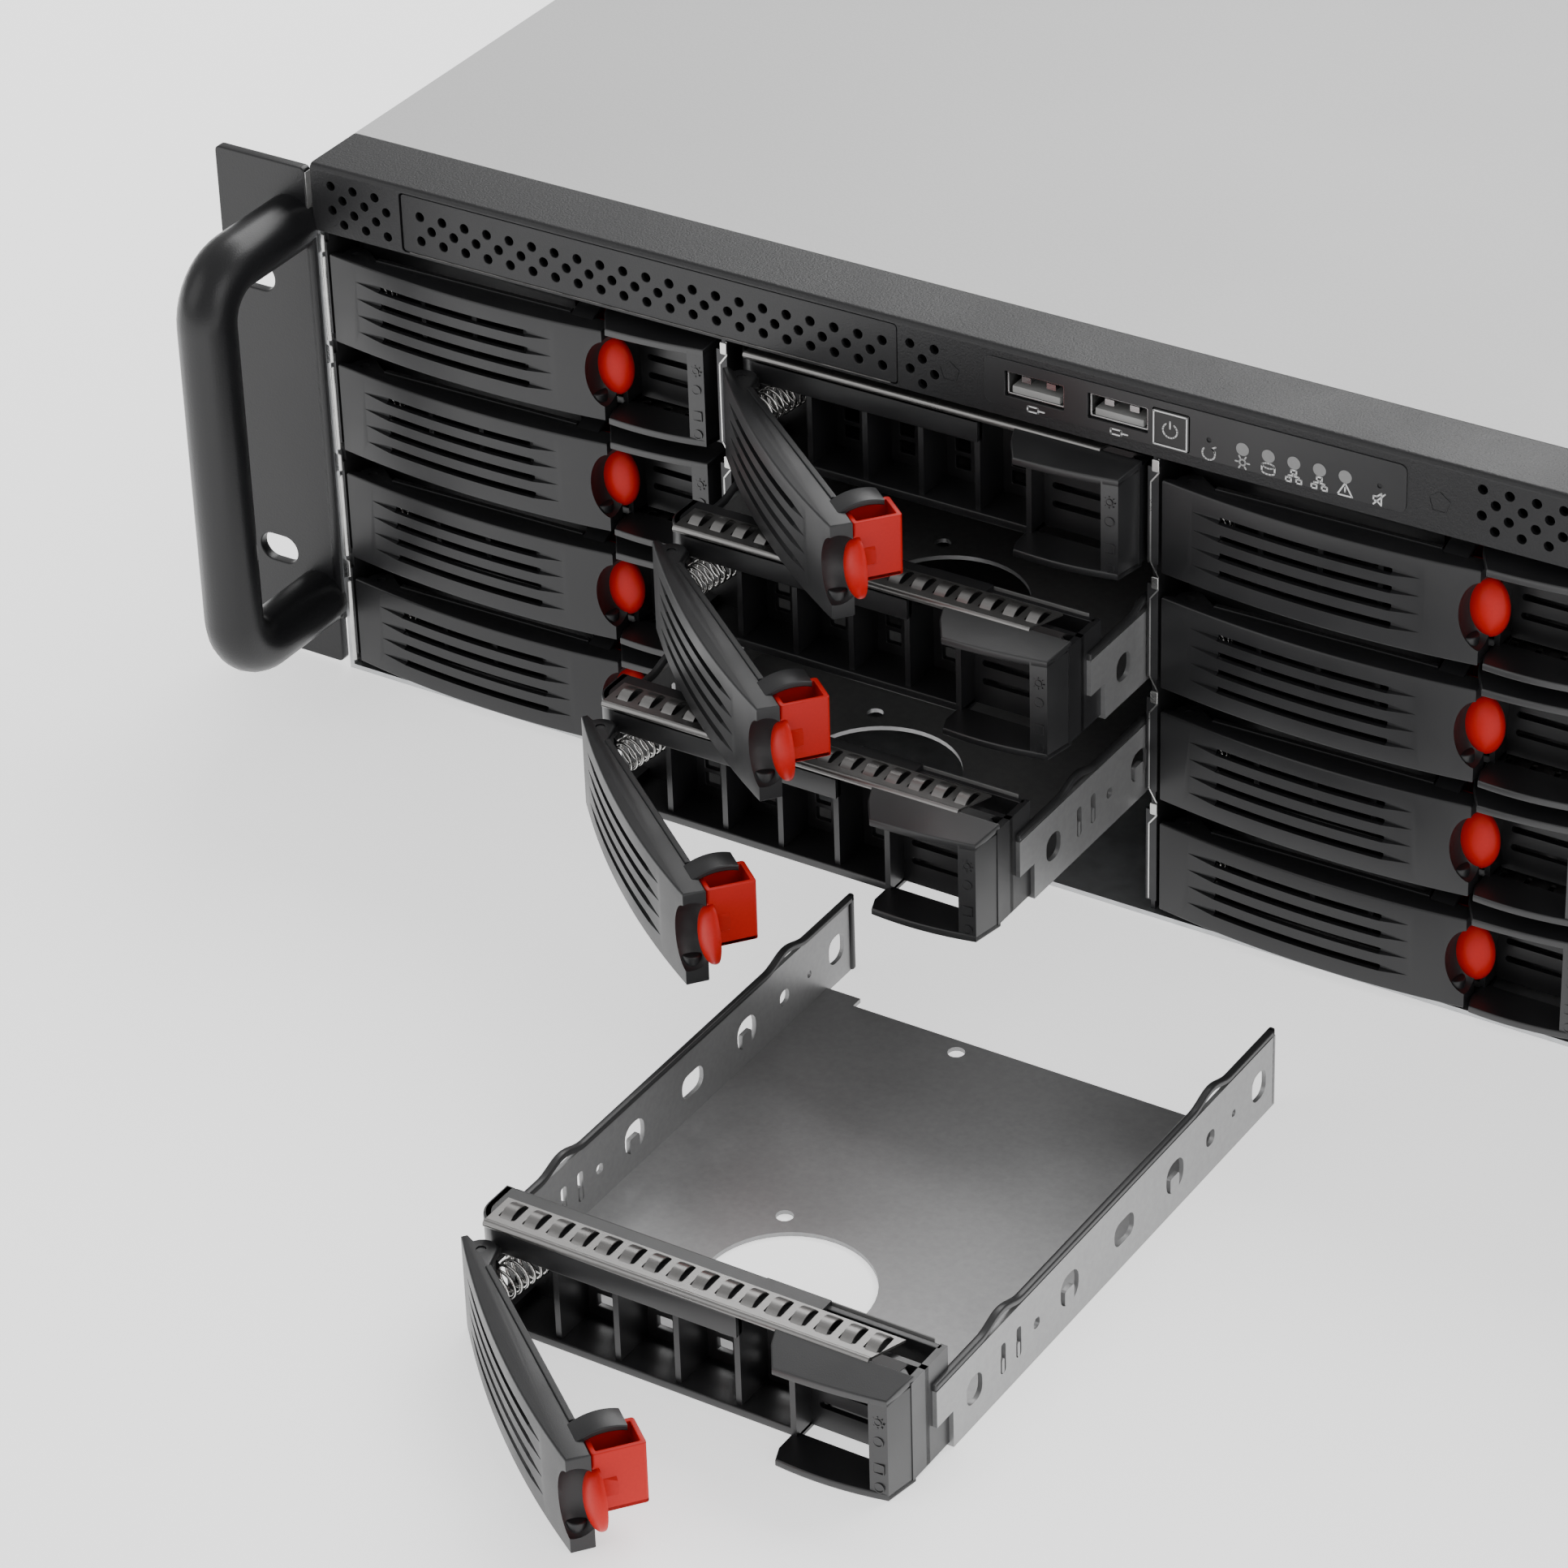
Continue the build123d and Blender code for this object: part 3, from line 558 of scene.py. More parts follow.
# After the colour: roughness, metal, grain, spread of tone and relief
galvanised = surface("galvanised_steel", (0.55, 0.56, 0.57), 0.38, 0.85, 260.0, 0.12, 0.08, patch=60.0)
cover_paint = surface("cover_sheet", (0.58, 0.58, 0.58), 0.5, 0.3, 1500.0, 0.03, 0.25, patch=8.0)
black_coat = surface("black_powder_coat", (0.013, 0.013, 0.014), 0.42, 0.0, 2200.0, 0.15, 0.8, specular=0.42)
ear_coat = surface("ear_black_coat", (0.009, 0.009, 0.01), 0.34, 0.0, 2600.0, 0.1, 0.4, specular=0.42)
lever_plastic = surface("lever_satin_plastic", (0.014, 0.014, 0.015), 0.38, 0.0, 4000.0, 0.1, 0.2,
                        patch=60.0, specular=0.45)
bezel_plastic = surface("bezel_black_plastic", (0.013, 0.013, 0.014), 0.36, 0.0, 4000.0, 0.1, 0.15,
                        patch=60.0, specular=0.7)
red_plastic = surface("latch_red_plastic", (0.5, 0.008, 0.005), 0.38, 0.0, 1500.0, 0.05, 0.04,
                      patch=40.0, specular=0.22)
pan_steel = surface("tray_dark_steel", (0.31, 0.31, 0.312), 0.42, 0.6, 700.0, 0.08, 0.1, patch=25.0)
chrome_wire = surface("spring_wire", (0.7, 0.69, 0.67), 0.24, 1.0, 1200.0, 0.05, 0.0)
board_green = surface("circuit_board", (0.012, 0.06, 0.03), 0.35, 0.0, 1500.0, 0.3, 0.3)
# Painted reflection: the hems are the pan's own steel, given a dark colour for the dark reflection they show
hem_painted_dark_reflection = surface("tray_hem_painted_dark_reflection", (0.035, 0.035, 0.036), 0.36, 0.3, 900.0, 0.08, 0.1, patch=25.0)
gasket_steel = surface("contact_strip_steel", (0.24, 0.235, 0.23), 0.3, 0.9, 700.0, 0.08, 0.06, (1, 5, 1))
fan_plastic = surface("fan_black_plastic", (0.018, 0.018, 0.018), 0.45, 0.0, 2000.0, 0.15, 0.15)
overlay_film = surface("overlay_film", (0.02, 0.02, 0.021), 0.3, 0.0, 3500.0, 0.08, 0.12)
button_black = surface("button_black", (0.018, 0.018, 0.018), 0.35, 0.0, 3500.0, 0.1, 0.1)
blank_coat = surface("blank_powder_coat", (0.013, 0.013, 0.014), 0.4, 0.0, 2200.0, 0.12, 0.5, specular=0.42)
# Painted highlight: a lighter metallic colour for the thin bead along the blank's lower edge, standing in for
# light caught by that edge
painted_highlight_edge = surface("painted_highlight_bright_edge", (0.16, 0.155, 0.15), 0.4, 0.7, 300.0, 0.4, 0.1, patch=300.0)
bright_steel = surface("bright_cut_steel", (0.62, 0.62, 0.61), 0.3, 0.9, 500.0, 0.1, 0.1, patch=200.0)
cage_steel = surface("cage_dark_steel", (0.05, 0.05, 0.052), 0.42, 0.6, 260.0, 0.15, 0.08, patch=60.0)
socket_steel = surface("socket_steel", (0.42, 0.42, 0.42), 0.26, 1.0, 500.0, 0.05, 0.03, patch=80.0)
shaded_steel = surface("flange_steel", (0.14, 0.14, 0.138), 0.5, 0.0, 700.0, 0.1, 0.05)
tongue_plastic = surface("socket_tongue", (0.26, 0.26, 0.255), 0.4, 0.0, 2000.0, 0.03, 0.05)
lamp_grey = surface("lamp_grey", (0.22, 0.22, 0.22), 0.35, 0.0, 1500.0, 0.05, 0.1)
print_white = surface("printed_white", (0.62, 0.62, 0.62), 0.5, 0.0, 2500.0, 0.05, 0.0)

cad_finish = {
    "chassis_shell": galvanised,
    "top_cover": cover_paint,
    "front_strip": black_coat,
    "optical_blank": black_coat,
    "control_panel": overlay_film,
    "power_button": button_black,
    "rack_ears": black_coat,
    "drive_cage": cage_steel,
    "backplane": board_green,
    "fan_wall": fan_plastic,
    "fan_rotor_1": fan_plastic,
    "fan_rotor_2": fan_plastic,
}
for name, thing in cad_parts.items():
    finish = cad_finish.get(name)
    if finish is None:
        finish = {"tray": pan_steel, "lever": lever_plastic, "latch": red_plastic}[name.split("_")[0]]
    thing.data.materials.clear()
    thing.data.materials.append(finish)


# Trays: the folded pan with its windows and hems

def pan_mesh():
    """The pan's floor and its two side walls."""
    tab_end = pan_floor_end + pan_tab
    floor = [(bezel_left, bezel_back), (bezel_right, bezel_back), (bezel_right, pan_floor_end),
             (pan_tab_width, pan_floor_end), (pan_tab_width, tab_end), (bezel_left, tab_end)]
    holes = [circle(pan_hole, pan_hole_radius, 48)]
    holes += [circle(place, pan_small_hole, 14) for place in pan_small_holes]
    parts = [lying(plate([floor] + holes, pan_sheet), pan_bottom)]
    wall = [(bezel_back, pan_bottom), (pan_end, pan_bottom), (pan_end, hem_low),
            (pan_start, hem_low), (pan_start, pan_wall_step), (bezel_back, pan_wall_step)]
    middle = (pan_bottom + hem_low) / 2
    windows = [around((back, middle), half, half_high, min(half, half_high) * window_roundness)
               for back, half, half_high in wall_windows]
    sides = (pan_side, pan_right - pan_sheet)
    for left in sides:
        parts.append(facing_side(plate([wall] + windows, pan_sheet), left))
    for back, half, half_high in wall_windows:
        if half_high >= wall_tab_from:
            for left in sides:
                tab = rectangle(back - half / 2, middle - half_high, back + half / 2, middle, 0.6)
                parts.append(facing_side(plate([tab], pan_sheet), left))
    return finished(joined(parts), pan_steel)


def hem_mesh():
    """The rounded hems along the tops of both walls, each with two sprung humps; their dark colour paints a
    dark reflection onto the pan's own steel.
    """
    lift = [0.0] * (int(pan_end - pan_start) + 1)
    for index in range(len(lift)):
        for hump in hem_humps:
            reach = abs(pan_start + index - hump) / hem_hump_half
            if reach < 1:
                lift[index] = hem_hump_rise * (0.5 + 0.5 * cos(pi * reach))
    lower = [(pan_start + index, hem_low + rise) for index, rise in enumerate(lift)]
    upper = [(pan_start + index, pan_top + rise) for index, rise in enumerate(lift)]
    outline = lower + upper[::-1]
    end_post = rectangle(pan_end - hem_width, pan_bottom, pan_end, pan_top, 0.6)
    parts = []
    for left in (pan_side, pan_right - hem_width):
        parts.append(facing_side(plate([outline], hem_width, 0.5), left))
        parts.append(facing_side(plate([end_post], hem_width, 0.5), left))
    return finished(joined(parts), hem_painted_dark_reflection)


# The moulded bezel

def sign_mesh(outer, inner, back):
    """A raised outline on the frame's column."""
    return facing_front(plate([outer, inner], sign_relief), back)


def frame_front(across):
    """How far back the light frame's front lies at a place across the bay."""
    reach = (across - frame_start) / (frame_right - frame_start)
    return frame_front_left + (frame_front_right - frame_front_left) * reach * reach


def frame_parts():
    """The light frame: sloped top, bulged bottom, right column with raised signs, slotted recess wall."""
    steps = 8
    places = [frame_start + (frame_right - frame_start) * step / steps for step in range(steps + 1)]
    front = [(across, frame_front(across)) for across in places]
    roof = [(frame_point, bezel_front), (frame_start - frame_point_reach, bezel_front / 2)] + front
    roof.append((bezel_right, bezel_front))
    top = lying(plate([roof], frame_wall, 0.3), frame_high - frame_wall)
    for vertex in top.vertices:
        vertex.co.z += (vertex.co.y - frame_front_left) * frame_top_slope
    floor = [(across, back - frame_bulge * (1 - ((index - steps / 2) / (steps / 2)) ** 2))
             for index, (across, back) in enumerate(front)]
    tab_left = frame_start - frame_tab
    floor += [(bezel_right, bezel_front), (tab_left, bezel_front), (tab_left, frame_tab_front)]
    bottom = lying(plate([floor], frame_wall, 0.3), bezel_bottom)
    column_left = frame_right - frame_column
    foot = [(column_left, frame_front(column_left)), (frame_right, frame_front_right),
            (bezel_right, bezel_front), (column_left + 1, bezel_front + 4)]
    column = lying(plate([foot], frame_high - bezel_bottom - 0.4, 0.25), bezel_bottom + 0.2)
    slots = [rectangle(frame_start + 2, up, column_left - 2, up + recess_slot, 0.7) for up in recess_slots]
    low, high = bezel_bottom + 1, bezel_top - 1
    wall = rectangle(frame_start, low, bezel_right, high)
    recess = facing_front(plate([wall] + slots, rib_wall), frame_pocket + rib_wall)
    parts = [top, bottom, column, recess]
    parts.append(block((frame_start - rib_wall, frame_side_front, low), (frame_start, bezel_back, high)))
    parts.append(block((bezel_right - 1.5, bezel_front - 1, low), (bezel_right, bezel_back, high)))
    middle = (column_left + frame_right) / 2
    face = frame_front(middle) + 0.2
    parts.append(sign_mesh(circle((middle, lamp_sign), 0.85), circle((middle, lamp_sign), 0.65), face))
    for turn in range(0, 360, 45):
        c, s = cos(radians(turn)), sin(radians(turn))
        ray = rectangle(1.1, -0.1, 1.5, 0.1)
        spun = [(middle + a * c - b * s, lamp_sign + a * s + b * c) for a, b in ray]
        parts.append(facing_front(plate([spun], sign_relief), face))
    for up in (upper_light, lower_light):
        parts.append(sign_mesh(circle((middle, up), 1.2), circle((middle, up), 0.98), face))
    square = [around((middle, square_sign), half, half, corner)
              for half, corner in ((1.25, 0.3), (1.03, 0.2))]
    parts.append(sign_mesh(*square, face))
    return parts


def bezel_mesh():
    """The bezel: a band with a round left corner, ribs, and a back wall with rows of small panes."""
    centre = (bezel_left + corner_radius, bezel_front + corner_radius)
    corner = arc(centre, corner_radius, 180, 270, 8)
    outer = [(frame_start, bezel_front), (frame_start, bezel_back), (bezel_left, bezel_back)]
    outer += [(bezel_left, centre[1])] + corner[1:]
    rib_first = bezel_left + pocket_width
    rib_step = (frame_start - rib_first) / compartments
    lip_end = rib_first + rib_step * (compartments - 1)
    skirt = [(lip_end, bezel_front), (lip_end, bezel_front + bezel_wall)]
    skirt += arc(centre, corner_radius - bezel_wall, 270, 180, 8)
    skirt += [(bezel_left + bezel_wall, bezel_back), (bezel_left, bezel_back)] + corner
    band = [(lip_end, bezel_front), (lip_end, bezel_back)] + outer[2:]
    parts = [lying(plate([band], bezel_wall, 0.5), bezel_top - bezel_wall)]
    parts.append(block((lip_end - 0.5, bezel_front, bezel_top - bezel_thin),
                       (frame_start, bezel_back, bezel_top)))
    parts.append(lying(plate([skirt], bezel_lip, 0.4), bezel_top - bezel_lip))
    parts.append(lying(plate([outer], bezel_wall, 0.3), bezel_bottom))
    parts.append(block((bezel_left, bezel_back - bezel_wall, bezel_bottom),
                       (bezel_left + bezel_wall, bezel_back, bezel_top - 1)))
    pane_width = window_width / pane_columns
    pane_height = window_height / pane_rows
    panes = []
    for index in range(compartments):
        left = rib_first + rib_step * index
        rib = plate([rectangle(left - rib_wall, bezel_front + 1, left, bezel_back - 1)],
                    bezel_top - bezel_bottom - 2, 0.25)
        parts.append(lying(rib, bezel_bottom + 1))
        pane_left = left + (rib_step - rib_wall - window_width) / 2
        for across in range(pane_columns):
            for up in range(pane_rows):
                place = (pane_left + pane_width * (across + 0.5), window_low + pane_height * (up + 0.5))
                panes.append(around(place, (pane_width - pane_bar) / 2, (pane_height - pane_bar) / 2, 0.3))
    wall = rectangle(bezel_left + 1, bezel_bottom + 0.5, bezel_right - 1, bezel_top - 1)
    parts.append(facing_front(plate([wall] + panes, pane_wall, 0.15), bezel_back - 0.3))
    for low in lug_levels:
        parts.append(lying(plate([circle(pivot, lug_radius)], lug_sheet, 0.2), low))
        parts.append(block((pivot[0] - lug_half, pivot[1], low),
                           (pivot[0] + lug_half, bezel_back - 1, low + lug_sheet)))
    parts.append(lying(plate([circle(pivot, pin_radius)], lever_high - lever_low - 0.6), lever_low + 0.3))
    return finished(joined(parts + frame_parts()), bezel_plastic)


def gasket_mesh():
    """The contact strip: a rolled front hem and a row of arched fingers over windows."""
    left = bezel_left + 3.2
    pitch = (gasket_right - left - 2) / strip_fingers
    front, back = bezel_front + 0.3, bezel_front + gasket_depth
    outline = [(left, front), (gasket_right - 3, front), (gasket_right, back), (left, back)]
    windows = []
    fingers = []
    for index in range(strip_fingers):
        low = left + 1.6 + pitch * index
        windows.append(rectangle(low, finger_front, low + finger_width + 1.3, finger_back, 0.3))
        bend = arc_through((finger_front - 0.4, gasket_top), (finger_front + 2.6, gasket_top + finger_rise),
                           (finger_back + 0.2, gasket_top), 10)
        under = [(back, up - finger_sheet) for back, up in bend[::-1]]
        fingers.append(facing_side(plate([bend + under], finger_width), low + 0.65))
    sheet = lying(plate([outline] + windows, gasket_sheet), bezel_top + 0.02)
    rod = facing_side(plate([circle((bezel_front + 0.1, bezel_top - 0.15), hem_radius, 16)],
                            gasket_right - left - 3), left)
    return finished(joined([sheet, rod] + fingers), gasket_steel)


def flange_mesh():
    """The contact strip's flange, folded down behind the bezel's panes."""
    flange = block((bezel_left + 2, bezel_back + 0.1, bezel_top - flange_drop),
                   (bezel_right - 3, bezel_back + 0.5, bezel_top - 0.6))
    return finished(softened(flange, 0.12), shaded_steel)


# Lever, latch and spring

def lever_face(across):
    """How far back the lever's face lies at a place across the bay."""
    reach = (across - (pivot[0] + lever_end) / 2) / ((lever_end - pivot[0]) / 2)
    end = (pivot[1] - nose_radius) * (lever_end - across) / (lever_end - pivot[0])
    return end - lever_bulge * (1 - reach * reach)


def solid(points, faces):
    """A closed mesh from its corners and faces."""
    mesh = bpy.data.meshes.new("solid")
    mesh.from_pydata(points, [], faces)
    return mesh


def tail_cutter(root, tip, height):
    """A spear-shaped recess that runs out to a point on the lever's face."""
    depth = lever_face(root)
    half = slot_height / 2 * tail_spread
    points = [(root, depth - 0.6, height - half), (root, depth - 0.6, height + half),
              (root, depth + tail_depth, height + half * 0.4), (root, depth + tail_depth, height - half * 0.4),
              (tip, lever_face(tip) - 0.25, height)]
    return solid(points, [(0, 1, 2, 3), (0, 1, 4), (1, 2, 4), (2, 3, 4), (3, 0, 4)])


def ellipsoid(centre, radii, sections=36):
    """A closed ellipsoid."""
    shape = bmesh.new()
    bmesh.ops.create_uvsphere(shape, u_segments=sections, v_segments=sections // 2, radius=1.0)
    mesh = bpy.data.meshes.new("ellipsoid")
    shape.to_mesh(mesh)
    shape.free()
    mesh.transform(Matrix.Translation(centre) @ Matrix.Diagonal((*radii, 1)))
    return mesh


def lever_mesh():
    """The lever: a curved channel, four slots with pointed ends, and a bowl for the latch's pad."""
    steps = 30
    face = [(pivot[0] + (lever_end - pivot[0]) * step / steps) for step in range(steps + 1)]
    outline = [(across, lever_face(across)) for across in face]
    outline += [(lever_end, end_block), (strap_from, end_block + 0.2), back_narrow]
    outline += arc(pivot, nose_radius, 70, 190, 6)
    outline += [(lever_start, lever_start_back), (lever_start, lever_start_front)]
    body = lying(plate([outline], lever_high - lever_low, 0.45, 3), lever_low)
    inner = [(across, lever_face(across) + lever_wall) for across in face if 12 < across < strap_from]
    inner += [(strap_from, end_block + 4), (11, end_block + 4)]
    cavity = lying(plate([inner], lever_high - lever_low - 2 * lever_flange), lever_low + lever_flange)
    cutters = [cavity]
    middle = (lever_low + lever_high) / 2 + slot_rise
    for index in range(slot_count):
        height = middle + (index - (slot_count - 1) / 2) * slot_pitch
        half = slot_height / 2
        cutters.append(block((slot_from, -6, height - half), (slot_to, 4, height + half)))
        cutters.append(tail_cutter(slot_from + 0.2, slot_from - slot_tail, height))
        cutters.append(tail_cutter(slot_to - 0.2, slot_to + slot_tail, height))
    cutters.append(ellipsoid(bowl_centre, bowl_radii))
    pocket = arc(pivot, lug_pocket, 55, 150, 6) + arc(pivot, lug_radius + 0.4, 190, 350, 8)
    for low in lug_levels:
        cutters.append(lying(plate([pocket], lug_sheet + 0.6), low - 0.3))
    cutters.append(lying(plate([circle(pivot, pin_radius + 0.1)], lever_high + 2), -1))
    made = combined(body, cutters)
    ledge = [(across, lever_back_edge(across) - 1.1) for across in (14, 66)]
    ledge += [(across, lever_back_edge(across) + 0.2) for across in (66, 14)]
    extras = [lying(plate([ledge], 0.9, 0.2), lever_high - 0.5)]
    roll = plate([circle(rim_roll, rim_roll_radius)], rim_roll_high - lever_low - 0.6, 0.3)
    extras.append(lying(roll, lever_low + 0.6))
    strap = arc_through((end_block - 1.5, lever_high), (strap_back * 0.62, lever_high + strap_rise),
                        (strap_back, lever_high + strap_rise * 0.6), 12)
    under = [(back, up - strap_sheet) for back, up in strap[::-1]]
    extras.append(facing_side(plate([strap + under], strap_width, 0.25), strap_from))
    low_strap = rectangle(end_block - 1.5, latch_low - 1.6, strap_back - 2, latch_low - 0.3, 0.4)
    extras.append(facing_side(plate([low_strap], strap_width, 0.2), strap_from))
    return finished(joined([made] + extras), lever_plastic)


def lever_back_edge(across):
    """The lever's back edge, straight from the narrow end to the end block."""
    share = (across - back_narrow[0]) / (strap_from - back_narrow[0])
    return back_narrow[1] + (end_block + 0.2 - back_narrow[1]) * share


def latch_mesh():
    """The red latch: an open-topped box, a domed thumb pad and a wedge beside it."""
    outer = rectangle(latch_from, latch_front, latch_to, latch_back, 0.7)
    inner = rectangle(latch_from + latch_wall, latch_front + latch_wall, latch_to - latch_wall,
                      latch_back - latch_wall, 0.3)
    walls = lying(plate([outer, inner], latch_high - latch_low, 0.2), latch_low)
    floor = lying(plate([outer], latch_wall, 0.2), latch_low)
    across, back, up = pad_centre
    pad = combined(ellipsoid(pad_centre, pad_radii, 40),
                   [block((across - 9, back + pad_sheet, -5), (across + 9, back + 9, 40))])
    stem = block((across - 2, back, up - 2), (across + 2, latch_front + 1, up + 2))
    root, tip = latch_to - 0.3, latch_to + wedge_reach
    front, rear = latch_front + 1.0, latch_front + 4.6
    wedge = solid(
        [(root, front, latch_middle - 2.4), (root, front, latch_middle + 2.4),
         (root, rear, latch_middle + 2.4), (root, rear, latch_middle - 2.4),
         (tip, rear, latch_middle + 1.6), (tip, rear, latch_middle - 1.6)],
        [(0, 1, 2, 3), (1, 0, 5, 4), (0, 3, 5), (1, 4, 2), (2, 4, 5, 3)],
    )
    return finished(welded(joined([walls, floor, pad, stem, wedge])), red_plastic, 40)


def spring_mesh(start, end):
    """A coil of wire from one point to another."""
    start, end = Vector(start), Vector(end)
    along = end - start
    turn = along.to_track_quat("Z", "Y").to_matrix()
    steps = spring_coils * turn_steps
    path = []
    for step in range(steps + 1):
        angle = 2 * pi * step / turn_steps
        rise = along.length * step / steps
        offset = Vector((spring_radius * cos(angle), spring_radius * sin(angle), rise))
        path.append(start + turn @ offset)
    return finished(wire(path, spring_wire / 2, 2), chrome_wire, 60)


def trays():
    """Every bay's tray, lever, latch and spring, made once and repeated."""
    shapes = {
        "pan": (pan_mesh(), "tray_dark"),
        "hems": (hem_mesh(), "tray_dark"),
        "bezel": (bezel_mesh(), "lever_plastic"),
        "contact_strip": (gasket_mesh(), "galvanised_sheet"),
        "strip_flange": (flange_mesh(), "galvanised_sheet"),
    }
    lever = lever_mesh()
    latch = latch_mesh()
    seat = (spring_across, bezel_back - bezel_wall, spring_up)
    closed_spring = spring_mesh(seat, (spring_across, lever_face(spring_across) + lever_wall, spring_up))
    open_spring = spring_mesh(seat, (*spring_open_end, spring_up))
    hub = Vector((*pivot, 0)) * metre
    for column in range(1, 5):
        for row in range(1, 5):
            bay = f"c{column}r{row}"
            low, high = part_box(f"tray_{bay}")
            origin = Vector((low.x, high.y, low.z)) - Vector((pan_side, pan_end, bezel_bottom)) * metre
            place = Matrix.Translation(origin)
            body = "chassis" if bay == loose_bay else f"tray_{bay}"
            is_open = bay in open_bays
            turn = Matrix.Rotation(radians(open_lever_angle) if is_open else 0.0, 4, "Z")
            swung = place @ Matrix.Translation(hub) @ turn @ Matrix.Translation(-hub)
            for name, (mesh, slot) in shapes.items():
                replaced = (f"tray_{bay}",) if name == "pan" else ()
                piece(f"{name}_{bay}", mesh, body, place, replaced)
            spring = open_spring if is_open else closed_spring
            coil = piece(f"lever_spring_{bay}", spring, body, place)
            if is_open:
                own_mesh(coil)
            piece(f"swing_lever_{bay}", lever, f"lever_{bay}", swung, (f"lever_{bay}",))
            piece(f"release_latch_{bay}", latch, f"latch_{bay}", swung, (f"latch_{bay}",))


trays()


# Front strip, blank, control panel and their prints

def hole_rows(first, rows, columns, odd_columns):
    """Round holes in rows from a first place rightwards and down, every second row half a pitch further."""
    loops = []
    for row in range(rows):
        odd = row % 2
        for column in range(odd_columns if odd else columns):
            place = (first[0] + hole_pitch * (column + odd / 2), first[1] - hole_row_pitch * row)
            loops.append(circle(place, hole_radius, 14))
    return loops


def pentagon(centre, radius):
    """A closed five-sided outline."""
    return [(centre[0] + radius * sin(2 * pi * step / 5), centre[1] + radius * cos(2 * pi * step / 5))
            for step in range(5)]


def panel_openings():
    """The openings for the two sockets and the button."""
    loops = [around((x, socket_middle), socket_width / 2, socket_height / 2, 0.4) for x in socket_places]
    return loops + [around(button_middle, button_size / 2, button_size / 2, 0.5)]


def front_strip_mesh():
    """The strip: perforated face, round bend into the top sheet, and short sides."""
    face = rectangle(-strip_side, strip_bottom, strip_side, strip_top - strip_bend)
    loops = [face, rectangle(blank_left, strip_bottom + 0.5, blank_right, blank_top, 1.0)]
    loops += panel_openings()
    loops += hole_rows(left_holes, 4, 3, 3)
    loops += hole_rows(middle_holes, 4, 2, 1)
    loops += hole_rows(right_holes, 4, right_hole_count, right_hole_count - 1)
    parts = [facing_front(plate(loops, strip_sheet), strip_front + strip_sheet)]
    centre = (strip_front + strip_bend, strip_top - strip_bend)
    profile = arc(centre, strip_bend, 180, 90, 8)
    profile += [(strip_back, strip_top), (strip_back, strip_top - strip_sheet)]
    profile += arc(centre, strip_bend - strip_sheet, 90, 180, 4)
    parts.append(facing_side(plate([profile], 2 * strip_side), -strip_side))
    for left in (-strip_side, strip_side - strip_sheet):
        parts.append(block((left, strip_front + strip_sheet, strip_bottom),
                           (left + strip_sheet, strip_back, strip_top - strip_sheet)))
    for middle in press_marks:
        mark = plate([pentagon(middle, 2.6), pentagon(middle, 2.35)], 0.12)
        parts.append(facing_front(mark, strip_front))
    return finished(joined(parts), black_coat)


def blank_mesh():
    """The perforated blank with its rounded rim and shallow sides."""
    inset = 0.35
    left, right = blank_left + inset, blank_right - inset
    low, high = strip_bottom + 0.6, blank_top - inset
    rim = rectangle(left, low, right, high, 0.9)
    holes = hole_rows(blank_holes, 3, blank_hole_count, blank_hole_count - 1)
    parts = [facing_front(plate([rim] + holes, strip_sheet, 0.15), strip_front + strip_sheet + 0.25)]
    ring = [rim, rectangle(left + 1, low + 1, right - 1, high - 1, 0.4)]
    parts.append(facing_front(plate(ring, blank_depth - 1), strip_front + blank_depth))
    return finished(joined(parts), blank_coat)


def stroke(points, width=0.34):
    """A printed line as a thin band of small quads, with round ends."""
    parts = []
    for (ax, ay), (bx, by) in zip(points, points[1:]):
        run = Vector((bx - ax, by - ay))
        side = Vector((-run.y, run.x)).normalized() * width / 2
        loop = [(ax + side.x, ay + side.y), (ax - side.x, ay - side.y),
                (bx - side.x, by - side.y), (bx + side.x, by + side.y)]
        parts.append(plate([loop], print_sheet))
    for place in points:
        parts.append(plate([circle(place, width / 2, 8)], print_sheet))
    return parts


def printed(lines, back):
    """Printed lines as one mesh on the front."""
    parts = []
    for line in lines:
        parts += stroke(line)
    return finished(facing_front(joined(parts), back), print_white)


def closed(loop):
    """The loop with its first point again at the end."""
    return loop + loop[:1]


